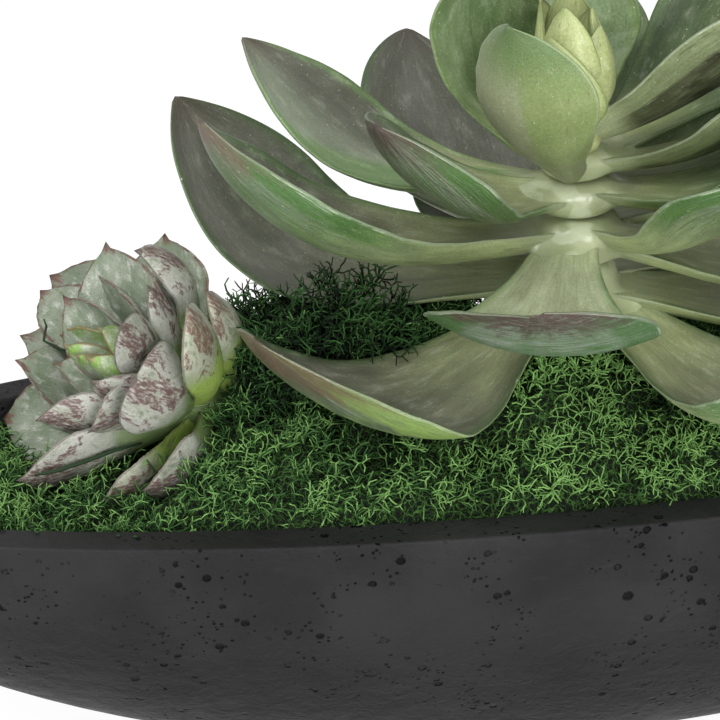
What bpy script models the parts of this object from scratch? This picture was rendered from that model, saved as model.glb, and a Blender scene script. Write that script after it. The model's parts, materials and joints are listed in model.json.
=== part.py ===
"""Succulent dish garden: a long oval concrete bowl filled with moss, one large open
succulent rosette in its middle and a small fat-leaved rosette near each end.

Metres, +Z up. The origin is the middle of the bowl's flat base, X runs along the bowl.
The plants are moulded ones, so each whorl of the large rosette is one star of leaves,
threaded with its neighbours on a plain stem that is pushed into foam under the moss.
"""
import math
from collections import namedtuple

import bmesh
import bpy
import numpy as np
from mathutils import Matrix, Vector
from mathutils.bvhtree import BVHTree

MM = 0.001

# Gap left between pieces that touch on the real thing
GAP = 0.3 * MM

# Points closer than this are one point, and neighbouring facets that turn less are one facet
WELD = 0.005 * MM
FLAT = math.radians(1.0)

# Edges between facets that turn more than this stay crisp, in degrees
LEAF_CREASE = 50
CAST_CREASE = 40
STEM_CREASE = 30

# Bowl: an oval in plan, pulled in below by a rounded side
BOWL_LENGTH = 588 * MM
BOWL_WIDTH = 172 * MM
BOWL_HEIGHT = 110 * MM
BASE_SHARES = (0.38, 0.42)   # length and width of the flat base as shares of the rim's
SIDE_POWER = 1.85            # how late the side starts to pull in, going down
SIDE_ROUND = 1.40            # how round the turn into the base is
WALL = 15 * MM
FLOOR = 18 * MM
RIM_EASE = 1.5 * MM          # small chamfer of the flat rim
INNER_LEVELS = (88 * MM, 62 * MM, 36 * MM)
INNER_TURN = 4 * MM          # height of the slope between the hollow's side and floor
INNER_INSET = 8 * MM         # how far that slope runs in
BOWL_SEGMENTS = 52
BOWL_RINGS = 6

# Foam that fills the bowl under the moss
FOAM_TOP = 90 * MM
FOAM_SLACK = 2 * MM          # room between the foam and the bowl's wall
FOAM_TURN = 6 * MM
FOAM_INSET = 12 * MM
FOAM_SEGMENTS = 28

# Moss: an even bed with a crown over its middle stretch, and soft lumps on it
MOSS_EDGE_TOP = 106 * MM     # the moss meets the wall a little below the rim
MOSS_SLACK = 2.5 * MM        # room between moss and wall, which also clears it where moss is pressed low
MOSS_LEAST = 3 * MM          # thinnest moss over the foam
MOSS_CROWN = 30 * MM         # how far its middle rises above its edge
END_CROWN = 0.25             # share of the crown that is left near the bowl's ends
CROWN_REACH = 145 * MM       # half length of the stretch with the full crown
CROWN_ROUND = 0.55           # how round the crown is across the bowl
BROAD_LUMP = (3.0 * MM, 13 * MM, 11 * MM)   # height, and measure along and across the bowl
SMALL_LUMP = (2.0 * MM, 6.5 * MM, 9 * MM)
MOUNDS = (                   # middle in X and Y, rise, and measure along and across the bowl
    (-9 * MM, -30 * MM, 17 * MM, 30 * MM, 20 * MM),
    (-92 * MM, 38 * MM, 30 * MM, 20 * MM, 18 * MM),
    (-52 * MM, 45 * MM, 9 * MM, 22 * MM, 16 * MM),
)
MOSS_SEGMENTS = 56
MOSS_RINGS = 7
LEAF_CLEARANCE = 1.5 * MM    # moss is pressed down this far under the leaves
MOSS_PATCH = (26 * MM, 12 * MM)  # half sizes of the patch round a point that this looks at
PATCH_LOOKS = (13, 9)        # how often it is looked at, along and across

# Large rosette: a stem with a thick foot, four whorls threaded on it and a bud on top
STEM_RADIUS = 5 * MM
STEM_FOOT_RADIUS = 12 * MM
STEM_FOOT = 40 * MM          # height of the stem's lower end in the foam
STEM_FOOT_TAPER = (4 * MM, 10 * MM)  # how much narrower its end is, and over what height
STEM_TOP = 213 * MM
LEAF_ROOT = 10 * MM          # distance of a leaf's root from the stem's middle
WHORL_FLOORS = (152 * MM, 172 * MM, 190.5 * MM, 203.5 * MM, 213.5 * MM)
HUB_RADII = (16 * MM, 16 * MM, 15 * MM, 13 * MM)
HUB_EDGE = 2 * MM
HUB_SIDES = 16
BUD_CORE = ((8 * MM, 0.0), (9 * MM, 3 * MM), (8 * MM, 12 * MM), (3 * MM, 30 * MM))
BUD_LEAF_ROOT = 5 * MM

# Small rosettes: a short core with rings of leaves, on a bent stalk
SMALL_AZIMUTH = 188          # degrees, where its axis points
SMALL_RISE = 36              # degrees above level
SMALL_ROOT = (-127 * MM, 5 * MM, 122 * MM)
SMALL_CORE = ((6 * MM, -4 * MM), (10 * MM, 1 * MM), (10 * MM, 9 * MM), (6 * MM, 20 * MM), (3 * MM, 28 * MM))
SMALL_CORE_SIDES = 10
SMALL_STEM_RADIUS = 4 * MM
SMALL_STEM_FOOT = (-96 * MM, 9 * MM, 55 * MM)
SMALL_STEM_REACH = (28 * MM, 30 * MM)  # how far it runs straight at its top and at its foot
SMALL_STEM_STEPS = 9
SMALL_STEM_SIDES = 8

# One leaf. Angles in degrees, sizes in millimetres.
#   turn       direction seen from above, 0 along +X, counter-clockwise
#   height     of the root, above the origin or along a small rosette's axis
#   neck, blade  rise of the narrow root part and of the broad outer part
#   knee       share of the length where one rise goes over into the other
#   bend       sideways turn gained towards the tip
#   roll, twist  turn about the leaf's own length at the root, and gained at the tip
#   channel    half angle, in radians, of the trough that the leaf forms
#   hook       rise added at the very tip
Leaf = namedtuple("Leaf", "turn height length width neck blade knee bend roll twist channel hook")

WHORL_1 = (
    Leaf(156, 162, 164, 78, -7, 43, 0.52, -8, 8, 0, 0.42, 24),
    Leaf(211, 160, 160, 92, -25, 30, 0.44, 1, -5, 8, 0.36, 27),
    Leaf(304, 160, 155, 86, -21, 35, 0.50, 6, 0, 20, 0.50, 0),
    Leaf(349, 160, 150, 80, -10, 40, 0.50, 0, 0, 0, 0.50, 0),
    Leaf(42, 162, 158, 80, -15, 38, 0.50, 4, 0, 5, 0.50, 10),
    Leaf(90, 162, 150, 82, -22, 36, 0.48, 0, 0, -5, 0.55, 10),
)
WHORL_2 = (
    Leaf(200, 182, 160, 72, 6, 28, 0.47, -11, -5, 2, 0.83, 50),
    Leaf(247, 182, 134, 79, -15, 36, 0.45, 9, 3, -4, 0.34, 0),
    Leaf(313, 184, 95, 66, 4, 38, 0.32, -4, 10, 0, 0.52, 0),
    Leaf(341, 180, 138, 74, -12, 41, 0.46, 0, 0, 4, 0.48, 0),
    Leaf(40, 182, 140, 76, -8, 42, 0.46, 0, 0, 0, 0.45, 10),
    Leaf(112, 180, 136, 80, -16, 40, 0.44, -16, -4, -23, 0.25, -4),
)
WHORL_3 = (
    Leaf(162, 198, 126, 67, 0, 34, 0.48, -15, 0, -5, 0.43, 25),
    Leaf(208, 197, 100, 68, 10, 37, 0.43, 4, 12, -7, 0.68, 30),
    Leaf(327, 198, 114, 72, 4, 40, 0.36, 2, 2, 0, 0.55, 0),
    Leaf(15, 197, 118, 70, 2, 44, 0.42, 0, 0, 0, 0.50, 10),
    Leaf(82, 197, 115, 70, 4, 46, 0.42, 0, 0, 0, 0.50, 10),
)
WHORL_4 = (
    Leaf(150, 208, 81, 50, 28, 77, 0.27, -17, 0, 38, 0.50, 44),
    Leaf(244, 208, 99, 49, 32, 79, 0.50, -24, -2, 0, 0.75, -18),
    Leaf(338.9, 208.8, 97.7, 51.7, 9.8, 35.5, 0.32, -13.3, 10, 16.2, 0.48, -7.4),
    Leaf(32, 208, 118, 69, 10, 54, 0.46, -5, 0, 7, 0.48, 0),
    Leaf(84, 208, 80, 58, 30, 72, 0.44, 0, 0, 4, 0.52, 6),
)
BUD = (
    Leaf(300, 219, 44, 20, 68, 98, 0.50, 0, 0, 0, 0.85, 0),
    Leaf(235, 218, 51, 38, 47, 82, 0.48, -8, 5, 6, 0.80, 4),
    Leaf(350, 218, 48, 20, 72, 104, 0.40, 0, 0, 0, 0.80, 0),
    Leaf(238, 218, 54, 25, 71, 86, 0.50, 0, 0, 0, 0.90, 0),
    Leaf(150, 218, 50, 28, 68, 90, 0.45, 0, 0, 0, 0.90, 0),
    Leaf(94, 219, 54, 24, 75, 94, 0.50, -4, 4, 5, 0.90, 2),
    Leaf(40, 218, 46, 24, 72, 100, 0.45, 0, 0, 0, 0.90, 0),
    Leaf(338.3, 218.8, 119.2, 48.9, 18, 38.2, 0.13, 2.4, 37.5, 0.6, 0.47, -20.9),
)

SMALL_OUTER = (
    Leaf(134, 7, 53, 38, 37, 40, 0.47, -4, -14, -10, 0.64, -25),
    Leaf(146, 6, 62, 36, 73, 40, 0.51, -7, -22, 10, 0.6, -15),
    Leaf(175, 7, 72, 38, 32, 40, 0.5, 13, -4, -3, 0.52, -2),
    Leaf(203, 4, 70, 31, 28, 56, 0.42, 0, 0, 0, 0.55, 0),
    Leaf(238, 8, 72, 38, 28, 40, 0.65, -25, -14, 30, 0.53, -21),
    Leaf(277, 6, 66, 31, 45, 41, 0.52, 13, -43, -7, 0.3, 15),
    Leaf(295, 5, 47, 26, 18, 60, 0.64, 2, -48, 9, 0.3, -20),
    Leaf(333, 4, 46, 26, 6, 43, 0.42, -25, -54, 30, 0.3, 2),
    Leaf(80, 0, 44, 26, 26, 64, 0.49, 10, 42, -27, 0.3, 4),
)
SMALL_MIDDLE = (
    Leaf(114, 15, 53, 22, 26, 69, 0.58, -3, 45, -4, 0.37, 39),
    Leaf(188, 15, 61, 27, 54, 40, 0.46, -7, -38, 16, 0.64, -17),
    Leaf(223, 15, 60, 30, 25, 86, 0.46, 1, -5, -1, 0.65, 1),
    Leaf(282, 14, 51, 22, 53, 77, 0.45, 4, -52, 0, 0.5, -24),
    Leaf(312, 12, 40, 26, 72, 42, 0.55, -16, -55, 14, 0.32, -10),
    Leaf(4, 15, 41, 36, 36, 70, 0.4, 4, -24, 24, 0.76, -3),
    Leaf(34, 10, 61, 27, 23, 50, 0.3, 25, 21, -21, 0.48, 2),
)
SMALL_INNER = (
    Leaf(102, 17, 36, 18, 43, 57, 0.49, -5, 43, 9, 0.36, 8),
    Leaf(132, 20, 42, 18, 60, 47, 0.44, 12, 21, -5, 0.3, 28),
    Leaf(180, 20, 46, 30, 71, 40, 0.52, -14, 32, -30, 0.99, 10),
    Leaf(228, 18, 40, 23, 50, 74, 0.45, 0, 0, 0, 0.6, 0),
    Leaf(262, 14, 33, 24, 48, 66, 0.48, 0, 4, 0, 0.75, 0),
    Leaf(325, 18, 36, 24, 56, 82, 0.45, 0, 0, 0, 0.6, 8),
    Leaf(46, 20, 46, 23, 64, 55, 0.49, -25, 12, -12, 0.88, 1),
)
SMALL_HEART = (
    Leaf(193, 27, 37, 20, 55, 40, 0.5, 10, 43, 1, 0.64, -22),
    Leaf(242, 26, 35, 15, 72, 105, 0.51, 19, -60, -24, 0.41, -25),
    Leaf(270, 27, 30, 15, 69, 105, 0.49, 6, -37, -12, 0.3, -25),
    Leaf(330, 26, 30, 16, 66, 90, 0.45, 0, 0, 0, 0.8, 8),
    Leaf(60, 24, 34, 18, 64, 88, 0.45, 0, 0, 0, 0.8, 8),
)

# Shape that all leaves share
KNEE_REACH = 0.5             # share of the length over which one rise goes over into the other
TIP_ROUND = 1.9              # how long the blade stays broad
TIP_POINT = 0.9              # how drawn out its point is
BLADE_SET = 0.6              # share of the length at which the thickness of the blade is reached
BLADE_THINS = 0.8            # share of its middle thickness that the blade loses by its tip
UPPER_SHARE = 0.35           # share of the thickness that lies on the upper face's side

# How a kind of leaf is cut from its row: width of the neck as a share of the full width,
# place of the widest part along it, thicknesses in millimetres, facets along and across
Plan = namedtuple("Plan", "neck widest root_thick mid_thick edge_thick along across")
LOWER_PLAN = Plan(0.27, 0.66, 7.5, 5.5, 1.8, 9, 4)
UPPER_PLAN = Plan(0.27, 0.66, 6.0, 4.8, 1.8, 9, 4)
BUD_PLAN = Plan(0.45, 0.50, 4.0, 3.2, 1.2, 5, 4)
SMALL_PLAN = Plan(0.45, 0.66, 5.0, 5.5, 1.6, 5, 2)
HEART_PLAN = Plan(0.50, 0.55, 3.5, 4.0, 1.4, 4, 2)

WHORLS = ((WHORL_1, LOWER_PLAN), (WHORL_2, LOWER_PLAN), (WHORL_3, UPPER_PLAN), (WHORL_4, UPPER_PLAN))

# Groups of a small rosette's leaves, with the distance of their roots from its axis
SMALL_RINGS = ((SMALL_OUTER, SMALL_PLAN, 7 * MM), (SMALL_MIDDLE, SMALL_PLAN, 7 * MM),
               (SMALL_INNER, HEART_PLAN, 4 * MM), (SMALL_HEART, HEART_PLAN, 2 * MM))

# Base colour and roughness
COLOURS = {
    "bowl": ((0.030, 0.030, 0.031), 0.55),
    "foam": ((0.10, 0.16, 0.07), 0.95),
    "moss": ((0.035, 0.085, 0.022), 0.95),
    "stem": ((0.33, 0.42, 0.22), 0.50),
    "leaf": ((0.20, 0.29, 0.17), 0.45),
    "bud": ((0.46, 0.55, 0.24), 0.45),
    "small_leaf": ((0.33, 0.38, 0.31), 0.50),
}


def clear_scene():
    for item in list(bpy.data.objects):
        bpy.data.objects.remove(item, do_unlink=True)


def material(name):
    """The named material, made once."""
    found = bpy.data.materials.get(name)
    if found:
        return found
    colour, roughness = COLOURS[name]
    made = bpy.data.materials.new(name)
    made.use_nodes = True
    shader = made.node_tree.nodes["Principled BSDF"]
    shader.inputs["Base Color"].default_value = (*colour, 1.0)
    shader.inputs["Roughness"].default_value = roughness
    shader.inputs["Metallic"].default_value = 0.0
    made.diffuse_color = (*colour, 1.0)
    return made


def add_object(name, points, faces, material_name, crease=LEAF_CREASE):
    """A closed mesh object from points and faces, with faces turned outward."""
    mesh = bpy.data.meshes.new(name)
    mesh.from_pydata([tuple(point) for point in points], [], faces)
    shape = bmesh.new()
    shape.from_mesh(mesh)
    bmesh.ops.recalc_face_normals(shape, faces=shape.faces)
    bmesh.ops.triangulate(shape, faces=shape.faces)
    shape.to_mesh(mesh)
    shape.free()
    mesh.shade_smooth()
    mesh.set_sharp_from_angle(angle=math.radians(crease))
    mesh.materials.append(material(material_name))
    made = bpy.data.objects.new(name, mesh)
    bpy.context.scene.collection.objects.link(made)
    return made


def lathe(name, rings, material_name, crease=LEAF_CREASE):
    """A closed solid through level rings of points, each ring of equal count."""
    count = len(rings[0])
    points = [point for ring in rings for point in ring]
    faces = [tuple(range(count))]
    for level in range(len(rings) - 1):
        low = level * count
        high = low + count
        for place in range(count):
            after = (place + 1) % count
            faces.append((low + place, low + after, high + after, high + place))
    last = (len(rings) - 1) * count
    faces.append(tuple(range(last, last + count)))
    return add_object(name, points, faces, material_name, crease)


def oval(half_length, half_width, height, sides):
    """Points of a level ellipse round the upright middle line."""
    turns = [2 * math.pi * side / sides for side in range(sides)]
    return [(half_length * math.cos(turn), half_width * math.sin(turn), height) for turn in turns]


def circle(radius, height, sides):
    return oval(radius, radius, height, sides)


def apply_boolean(body, operation, other=None, collection=None, solver="EXACT"):
    """Joins or cuts body for good, with one object or a whole collection."""
    modifier = body.modifiers.new("boolean", "BOOLEAN")
    modifier.operation = operation
    modifier.solver = solver
    if collection:
        modifier.operand_type = "COLLECTION"
        modifier.collection = collection
    else:
        modifier.object = other
    with bpy.context.temp_override(object=body, active_object=body):
        bpy.ops.object.modifier_apply(modifier=modifier.name)


def remove(item):
    mesh = item.data
    bpy.data.objects.remove(item, do_unlink=True)
    bpy.data.meshes.remove(mesh)


def fuse(body, parts, solver="EXACT"):
    """One union of a body with all its parts, which are then taken away."""
    collection = bpy.data.collections.new(body.name + "_parts")
    bpy.context.scene.collection.children.link(collection)
    for part in parts:
        bpy.context.scene.collection.objects.unlink(part)
        collection.objects.link(part)
    apply_boolean(body, "UNION", collection=collection, solver=solver)
    for part in parts:
        remove(part)
    bpy.data.collections.remove(collection)
    tidy(body)


def cut(body, cutter):
    """Cuts the cutter's shape out of body and takes the cutter away."""
    apply_boolean(body, "DIFFERENCE", other=cutter)
    remove(cutter)
    tidy(body)


def drop_scraps(shape):
    """Keeps the main body only: a sealed hollow between leaves is filled, a loose chip dropped."""
    waiting = set(shape.faces)
    islands = []
    while waiting:
        border = [waiting.pop()]
        island = []
        while border:
            face = border.pop()
            island.append(face)
            for edge in face.edges:
                for beside in edge.link_faces:
                    if beside in waiting:
                        waiting.remove(beside)
                        border.append(beside)
        islands.append(island)
    main = max(islands, key=len)
    for island in islands:
        if island is not main:
            bmesh.ops.delete(shape, geom=island, context="FACES")


def tidy(body):
    """Joins the splinters that a union leaves in flat facets, and shades the result smooth."""
    shape = bmesh.new()
    shape.from_mesh(body.data)
    bmesh.ops.remove_doubles(shape, verts=shape.verts, dist=WELD)
    drop_scraps(shape)
    bmesh.ops.dissolve_limit(shape, angle_limit=FLAT, verts=shape.verts, edges=shape.edges)
    bmesh.ops.dissolve_degenerate(shape, edges=shape.edges, dist=WELD)
    loose = [edge for edge in shape.edges if not edge.link_faces]
    bmesh.ops.delete(shape, geom=loose, context="EDGES")
    bmesh.ops.triangulate(shape, faces=shape.faces)
    shape.to_mesh(body.data)
    shape.free()
    body.data.shade_smooth()
    body.data.set_sharp_from_angle(angle=math.radians(LEAF_CREASE))


def ease(value):
    """A soft step from 0 to 1."""
    held = np.clip(value, 0.0, 1.0)
    return held * held * (3 - 2 * held)


def width_share(along, plan):
    """Width of a leaf as a share of its widest: narrow neck, broad blade, pointed tip."""
    growing = plan.neck + (1 - plan.neck) * ease(along / plan.widest)
    past = np.clip((along - plan.widest) / (1 - plan.widest), 0.0, 1.0)
    closing = np.clip(1 - past ** TIP_ROUND, 0.0, None) ** TIP_POINT
    return np.where(along < plan.widest, growing, closing)


def leaf_faces(leaf, plan, root_radius):
    """Points of a leaf's upper and lower face, one row for each station along it."""
    along = np.linspace(0.0, 1.0, plan.along + 1)
    lifted = ease((along - leaf.knee) / KNEE_REACH + 0.5)
    rise = np.radians(leaf.neck + (leaf.blade - leaf.neck) * lifted + leaf.hook * along ** 4)
    turn = np.radians(leaf.turn + leaf.bend * along)
    ahead = np.stack([np.cos(rise) * np.cos(turn), np.cos(rise) * np.sin(turn), np.sin(rise)], 1)
    step = leaf.length * MM / plan.along
    middle = np.vstack([[0, 0, 0], np.cumsum((ahead[1:] + ahead[:-1]) / 2 * step, axis=0)])
    first_turn = math.radians(leaf.turn)
    middle += (root_radius * math.cos(first_turn), root_radius * math.sin(first_turn), leaf.height * MM)
    level_side = np.stack([np.sin(turn), -np.cos(turn), np.zeros_like(turn)], 1)
    level_up = np.cross(level_side, ahead)
    roll = np.radians(leaf.roll + leaf.twist * along)[:, None]
    side = level_side * np.cos(roll) + level_up * np.sin(roll)
    up = np.cross(side, ahead)

    half = leaf.width * MM / 2 * width_share(along, plan)
    across = np.linspace(-1.0, 1.0, plan.across + 1)
    sideways = np.sin(across * leaf.channel) / leaf.channel
    upward = (1 - np.cos(across * leaf.channel)) / leaf.channel
    sheet = (middle[:, None, :]
             + side[:, None, :] * (half[:, None] * sideways)[:, :, None]
             + up[:, None, :] * (half[:, None] * upward)[:, :, None])
    normal = (up[:, None, :] * np.cos(across * leaf.channel)[None, :, None]
              - side[:, None, :] * np.sin(across * leaf.channel)[None, :, None])

    swell = plan.root_thick + (plan.mid_thick - plan.root_thick) * ease(along / BLADE_SET) - plan.edge_thick
    swell *= 1 - BLADE_THINS * ease((along - BLADE_SET) / (1 - BLADE_SET))
    thick = MM * (plan.edge_thick + swell[:, None] * (1 - across ** 2)[None, :])[:, :, None]
    return sheet + normal * UPPER_SHARE * thick, sheet - normal * (1 - UPPER_SHARE) * thick


def add_leaf(name, leaf, plan, root_radius, frame, material_name):
    """A closed leaf with a flat root and a pointed tip, set in a frame of three axes and a root."""
    upper, lower = leaf_faces(leaf, plan, root_radius)
    axes, origin = frame
    wide = plan.across + 1
    rows = plan.along
    points = []
    for row in range(rows):
        points.extend(upper[row] @ axes.T + origin)
        points.extend(lower[row][::-1] @ axes.T + origin)
    tip = (upper[rows].mean(axis=0) + lower[rows].mean(axis=0)) / 2
    points.append(tip @ axes.T + origin)

    ring = 2 * wide
    faces = [tuple(range(ring))]
    for row in range(rows - 1):
        for place in range(ring):
            after = (place + 1) % ring
            low, high = row * ring, (row + 1) * ring
            corners = (low + place, low + after, high + after, high + place)
            if place < plan.across:
                faces.append((corners[0], corners[1], corners[2]))
                faces.append((corners[0], corners[2], corners[3]))
            elif wide <= place < wide + plan.across:
                faces.append((corners[0], corners[1], corners[3]))
                faces.append((corners[1], corners[2], corners[3]))
            else:
                faces.append(corners)
    last = (rows - 1) * ring
    for place in range(ring):
        faces.append((last + place, last + (place + 1) % ring, rows * ring))
    return add_object(name, points, faces, material_name)


UPRIGHT = (np.eye(3), np.zeros(3))


def whorl(name, leaves, plan, floor, ceiling, hub_radius):
    """One star of leaves round a short hub with a hole for the stem."""
    low = floor + GAP
    hub = lathe(name, [
        circle(hub_radius - HUB_EDGE, low, HUB_SIDES),
        circle(hub_radius, low + HUB_EDGE, HUB_SIDES),
        circle(hub_radius, ceiling - HUB_EDGE, HUB_SIDES),
        circle(hub_radius - HUB_EDGE, ceiling, HUB_SIDES),
    ], "leaf")
    parts = [add_leaf(f"{name}_{number}", leaf, plan, LEAF_ROOT, UPRIGHT, "leaf")
             for number, leaf in enumerate(leaves)]
    fuse(hub, parts)
    hole = [circle(STEM_RADIUS + GAP, height, HUB_SIDES) for height in (floor - HUB_EDGE, ceiling + HUB_EDGE)]
    cut(hub, lathe("hole", hole, "stem"))
    return hub


def bud(name, leaves, floor):
    """The closed heart of the large rosette: narrow leaves round a pointed core."""
    core = lathe(name, [circle(radius, floor + GAP + height, HUB_SIDES) for radius, height in BUD_CORE], "bud")
    parts = [add_leaf(f"{name}_{number}", leaf, BUD_PLAN, BUD_LEAF_ROOT, UPRIGHT, "bud")
             for number, leaf in enumerate(leaves)]
    fuse(core, parts)
    return core


def large_stem():
    """A rod through the hubs on a thicker foot that carries the lowest one."""
    shoulder = WHORL_FLOORS[0]
    narrower, taper = STEM_FOOT_TAPER
    return lathe("stem_large", [
        circle(STEM_FOOT_RADIUS - narrower, STEM_FOOT, HUB_SIDES),
        circle(STEM_FOOT_RADIUS, STEM_FOOT + taper, HUB_SIDES),
        circle(STEM_FOOT_RADIUS, shoulder, HUB_SIDES),
        circle(STEM_RADIUS, shoulder, HUB_SIDES),
        circle(STEM_RADIUS, STEM_TOP, HUB_SIDES),
    ], "stem", STEM_CREASE)


def large_stem_hole():
    """The room that the stem's foot takes in foam and moss."""
    radius = STEM_FOOT_RADIUS + GAP
    return lathe("hole", [circle(radius, height, HUB_SIDES) for height in (STEM_FOOT - GAP, STEM_TOP)], "stem")


def small_frame():
    """Axes and root of the left small rosette: across, over and along its axis."""
    turn = math.radians(SMALL_AZIMUTH)
    rise = math.radians(SMALL_RISE)
    axis = np.array([math.cos(rise) * math.cos(turn), math.cos(rise) * math.sin(turn), math.sin(rise)])
    level = np.array([-math.sin(turn), math.cos(turn), 0.0])
    return np.stack([level, np.cross(axis, level), axis], 1), np.array(SMALL_ROOT)


def half_turned(body, name):
    """A copy of body at the bowl's other end, turned half round the upright middle line."""
    twin = bpy.data.objects.new(name, body.data.copy())
    twin.data.name = name
    twin.data.transform(Matrix.Rotation(math.pi, 4, "Z"))
    bpy.context.scene.collection.objects.link(twin)
    return twin


def small_rosette(name):
    """A head of fat leaves in rings round a short core."""
    frame = small_frame()
    axes, root = frame
    rings = [np.array(circle(radius, height, SMALL_CORE_SIDES)) @ axes.T + root
             for radius, height in SMALL_CORE]
    core = lathe(name, rings, "small_leaf")
    parts = []
    for leaves, plan, root_radius in SMALL_RINGS:
        for leaf in leaves:
            parts.append(add_leaf(f"{name}_{len(parts)}", leaf, plan, root_radius, frame, "small_leaf"))
    fuse(core, parts, "MANIFOLD")
    return core


def small_stem(name, grown=0.0):
    """A bent stalk from the back of a small rosette down into the foam, thicker by grown."""
    axes, root = small_frame()
    axis = axes[:, 2]
    start = root + axis * (SMALL_CORE[0][1] - GAP + grown)
    foot = np.array(SMALL_STEM_FOOT) - (0, 0, grown)
    knee = start - axis * SMALL_STEM_REACH[0]
    lean = foot + (0, 0, SMALL_STEM_REACH[1])
    radius = SMALL_STEM_RADIUS + grown
    rings = []
    for step in range(SMALL_STEM_STEPS + 1):
        share = step / SMALL_STEM_STEPS
        left = 1 - share
        middle = (left ** 3 * start + 3 * left ** 2 * share * knee
                  + 3 * left * share ** 2 * lean + share ** 3 * foot)
        ahead = (3 * left ** 2 * (knee - start) + 6 * left * share * (lean - knee)
                 + 3 * share ** 2 * (foot - lean))
        ahead /= np.linalg.norm(ahead)
        across = np.cross(ahead, (0.0, 1.0, 0.0))
        across /= np.linalg.norm(across)
        over = np.cross(ahead, across)
        rings.append([middle + across * x + over * y for x, y, _ in circle(radius, 0.0, SMALL_STEM_SIDES)])
    return lathe(name, rings, "stem", LEAF_CREASE)


def half_sizes(height, inset=0.0):
    """Half length and half width of the bowl's outer plan at a height, less an inset."""
    depth = 1 - height / BOWL_HEIGHT
    swell = max(0.0, 1 - depth ** SIDE_POWER) ** (1 / SIDE_ROUND)
    return [size / 2 * (base + (1 - base) * swell) - inset
            for size, base in zip((BOWL_LENGTH, BOWL_WIDTH), BASE_SHARES)]


def inner_half_sizes(height, slack=0.0):
    """Half length and half width of the bowl's hollow at a height, less a slack."""
    return half_sizes(height, WALL + slack)


def bowl():
    """Thick cast shell with a flat foot and a flat, slightly eased rim."""
    rings = []
    for level in range(BOWL_RINGS + 1):
        height = BOWL_HEIGHT * (1 - math.cos(math.pi / 2 * level / BOWL_RINGS))
        height = min(height, BOWL_HEIGHT - RIM_EASE)
        rings.append(oval(*half_sizes(height), height, BOWL_SEGMENTS))
    for inset in (RIM_EASE, WALL - RIM_EASE):
        rings.append(oval(*half_sizes(BOWL_HEIGHT, inset), BOWL_HEIGHT, BOWL_SEGMENTS))
    for height in (BOWL_HEIGHT - RIM_EASE, *INNER_LEVELS, FLOOR + INNER_TURN):
        rings.append(oval(*inner_half_sizes(height), height, BOWL_SEGMENTS))
    rings.append(oval(*inner_half_sizes(FLOOR, INNER_INSET), FLOOR, BOWL_SEGMENTS))
    return lathe("bowl", rings, "bowl", CAST_CREASE)


def foam_block():
    """Dry foam that fills the bowl under the moss and holds the stems."""
    heights = (FOAM_TOP - GAP, *INNER_LEVELS[1:], FLOOR + FOAM_TURN)
    rings = [oval(*inner_half_sizes(height, FOAM_SLACK), height, FOAM_SEGMENTS) for height in heights]
    rings.append(oval(*inner_half_sizes(FLOOR, FOAM_INSET), FLOOR + GAP, FOAM_SEGMENTS))
    return lathe("foam_block", rings, "foam", CAST_CREASE)


def moss_wish(x, y):
    """Height the moss would have with nothing above it: a long crown with soft lumps."""
    half_length, half_width = inner_half_sizes(MOSS_EDGE_TOP)
    out = min(1.0, (x / half_length) ** 2 + (y / half_width) ** 2)
    middle = 1 / (1 + (abs(x) / CROWN_REACH) ** 8)
    crown = MOSS_CROWN * (END_CROWN + (1 - END_CROWN) * middle) * (1 - out) ** CROWN_ROUND
    height, along, across = BROAD_LUMP
    lumps = height * math.sin(x / along + 1.3) * math.cos(y / across + 0.4)
    height, along, across = SMALL_LUMP
    lumps += height * math.sin(x / along - y / across)
    for east, north, rise, along, across in MOUNDS:
        lumps += rise * math.exp(-((x - east) / along) ** 2 - ((y - north) / across) ** 2)
    return MOSS_EDGE_TOP + crown + lumps * (1 - out)


def lowest_above(trees, x, y):
    """Lowest underside of any leaf above a small oblong patch round a point."""
    lowest = math.inf
    for tree in trees:
        for east in np.linspace(-MOSS_PATCH[0], MOSS_PATCH[0], PATCH_LOOKS[0]):
            for north in np.linspace(-MOSS_PATCH[1], MOSS_PATCH[1], PATCH_LOOKS[1]):
                start = Vector((x + east, y + north, FOAM_TOP))
                hit = tree.ray_cast(start, Vector((0, 0, 1)))[0]
                if hit:
                    lowest = min(lowest, hit.z)
    return lowest


def moss_bed(plants):
    """Mound of moss over the foam, pressed down wherever a leaf comes low."""
    trees = []
    for plant in plants:
        shape = bmesh.new()
        shape.from_mesh(plant.data)
        trees.append(BVHTree.FromBMesh(shape))
        shape.free()
    half_length, half_width = inner_half_sizes(MOSS_EDGE_TOP, MOSS_SLACK)
    rings = [oval(*inner_half_sizes(FOAM_TOP, FOAM_SLACK), FOAM_TOP, MOSS_SEGMENTS)]
    for level in range(MOSS_RINGS):
        share = 1 - level / MOSS_RINGS
        ring = []
        for x, y, _ in oval(half_length * share, half_width * share, 0.0, MOSS_SEGMENTS):
            roof = lowest_above(trees, x, y) - LEAF_CLEARANCE
            ring.append((x, y, max(FOAM_TOP + MOSS_LEAST, min(moss_wish(x, y), roof))))
        rings.append(ring)
    return lathe("moss_bed", rings, "moss")


def build():
    clear_scene()
    bowl()
    foam = foam_block()
    large_stem()
    plants = []
    for number, (leaves, plan) in enumerate(WHORLS):
        floor, ceiling = WHORL_FLOORS[number], WHORL_FLOORS[number + 1]
        plants.append(whorl(f"whorl_{number + 1}", leaves, plan, floor, ceiling, HUB_RADII[number]))
    bud("bud", BUD, WHORL_FLOORS[-1])
    plants.append(small_rosette("rosette_small_left"))
    plants.append(half_turned(plants[-1], "rosette_small_right"))
    half_turned(small_stem("stem_small_left"), "stem_small_right")
    moss = moss_bed(plants)
    for body in (foam, moss):
        cut(body, large_stem_hole())
        hole = small_stem("hole", GAP)
        cut(body, half_turned(hole, "far_hole"))
        cut(body, hole)


build()
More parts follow.
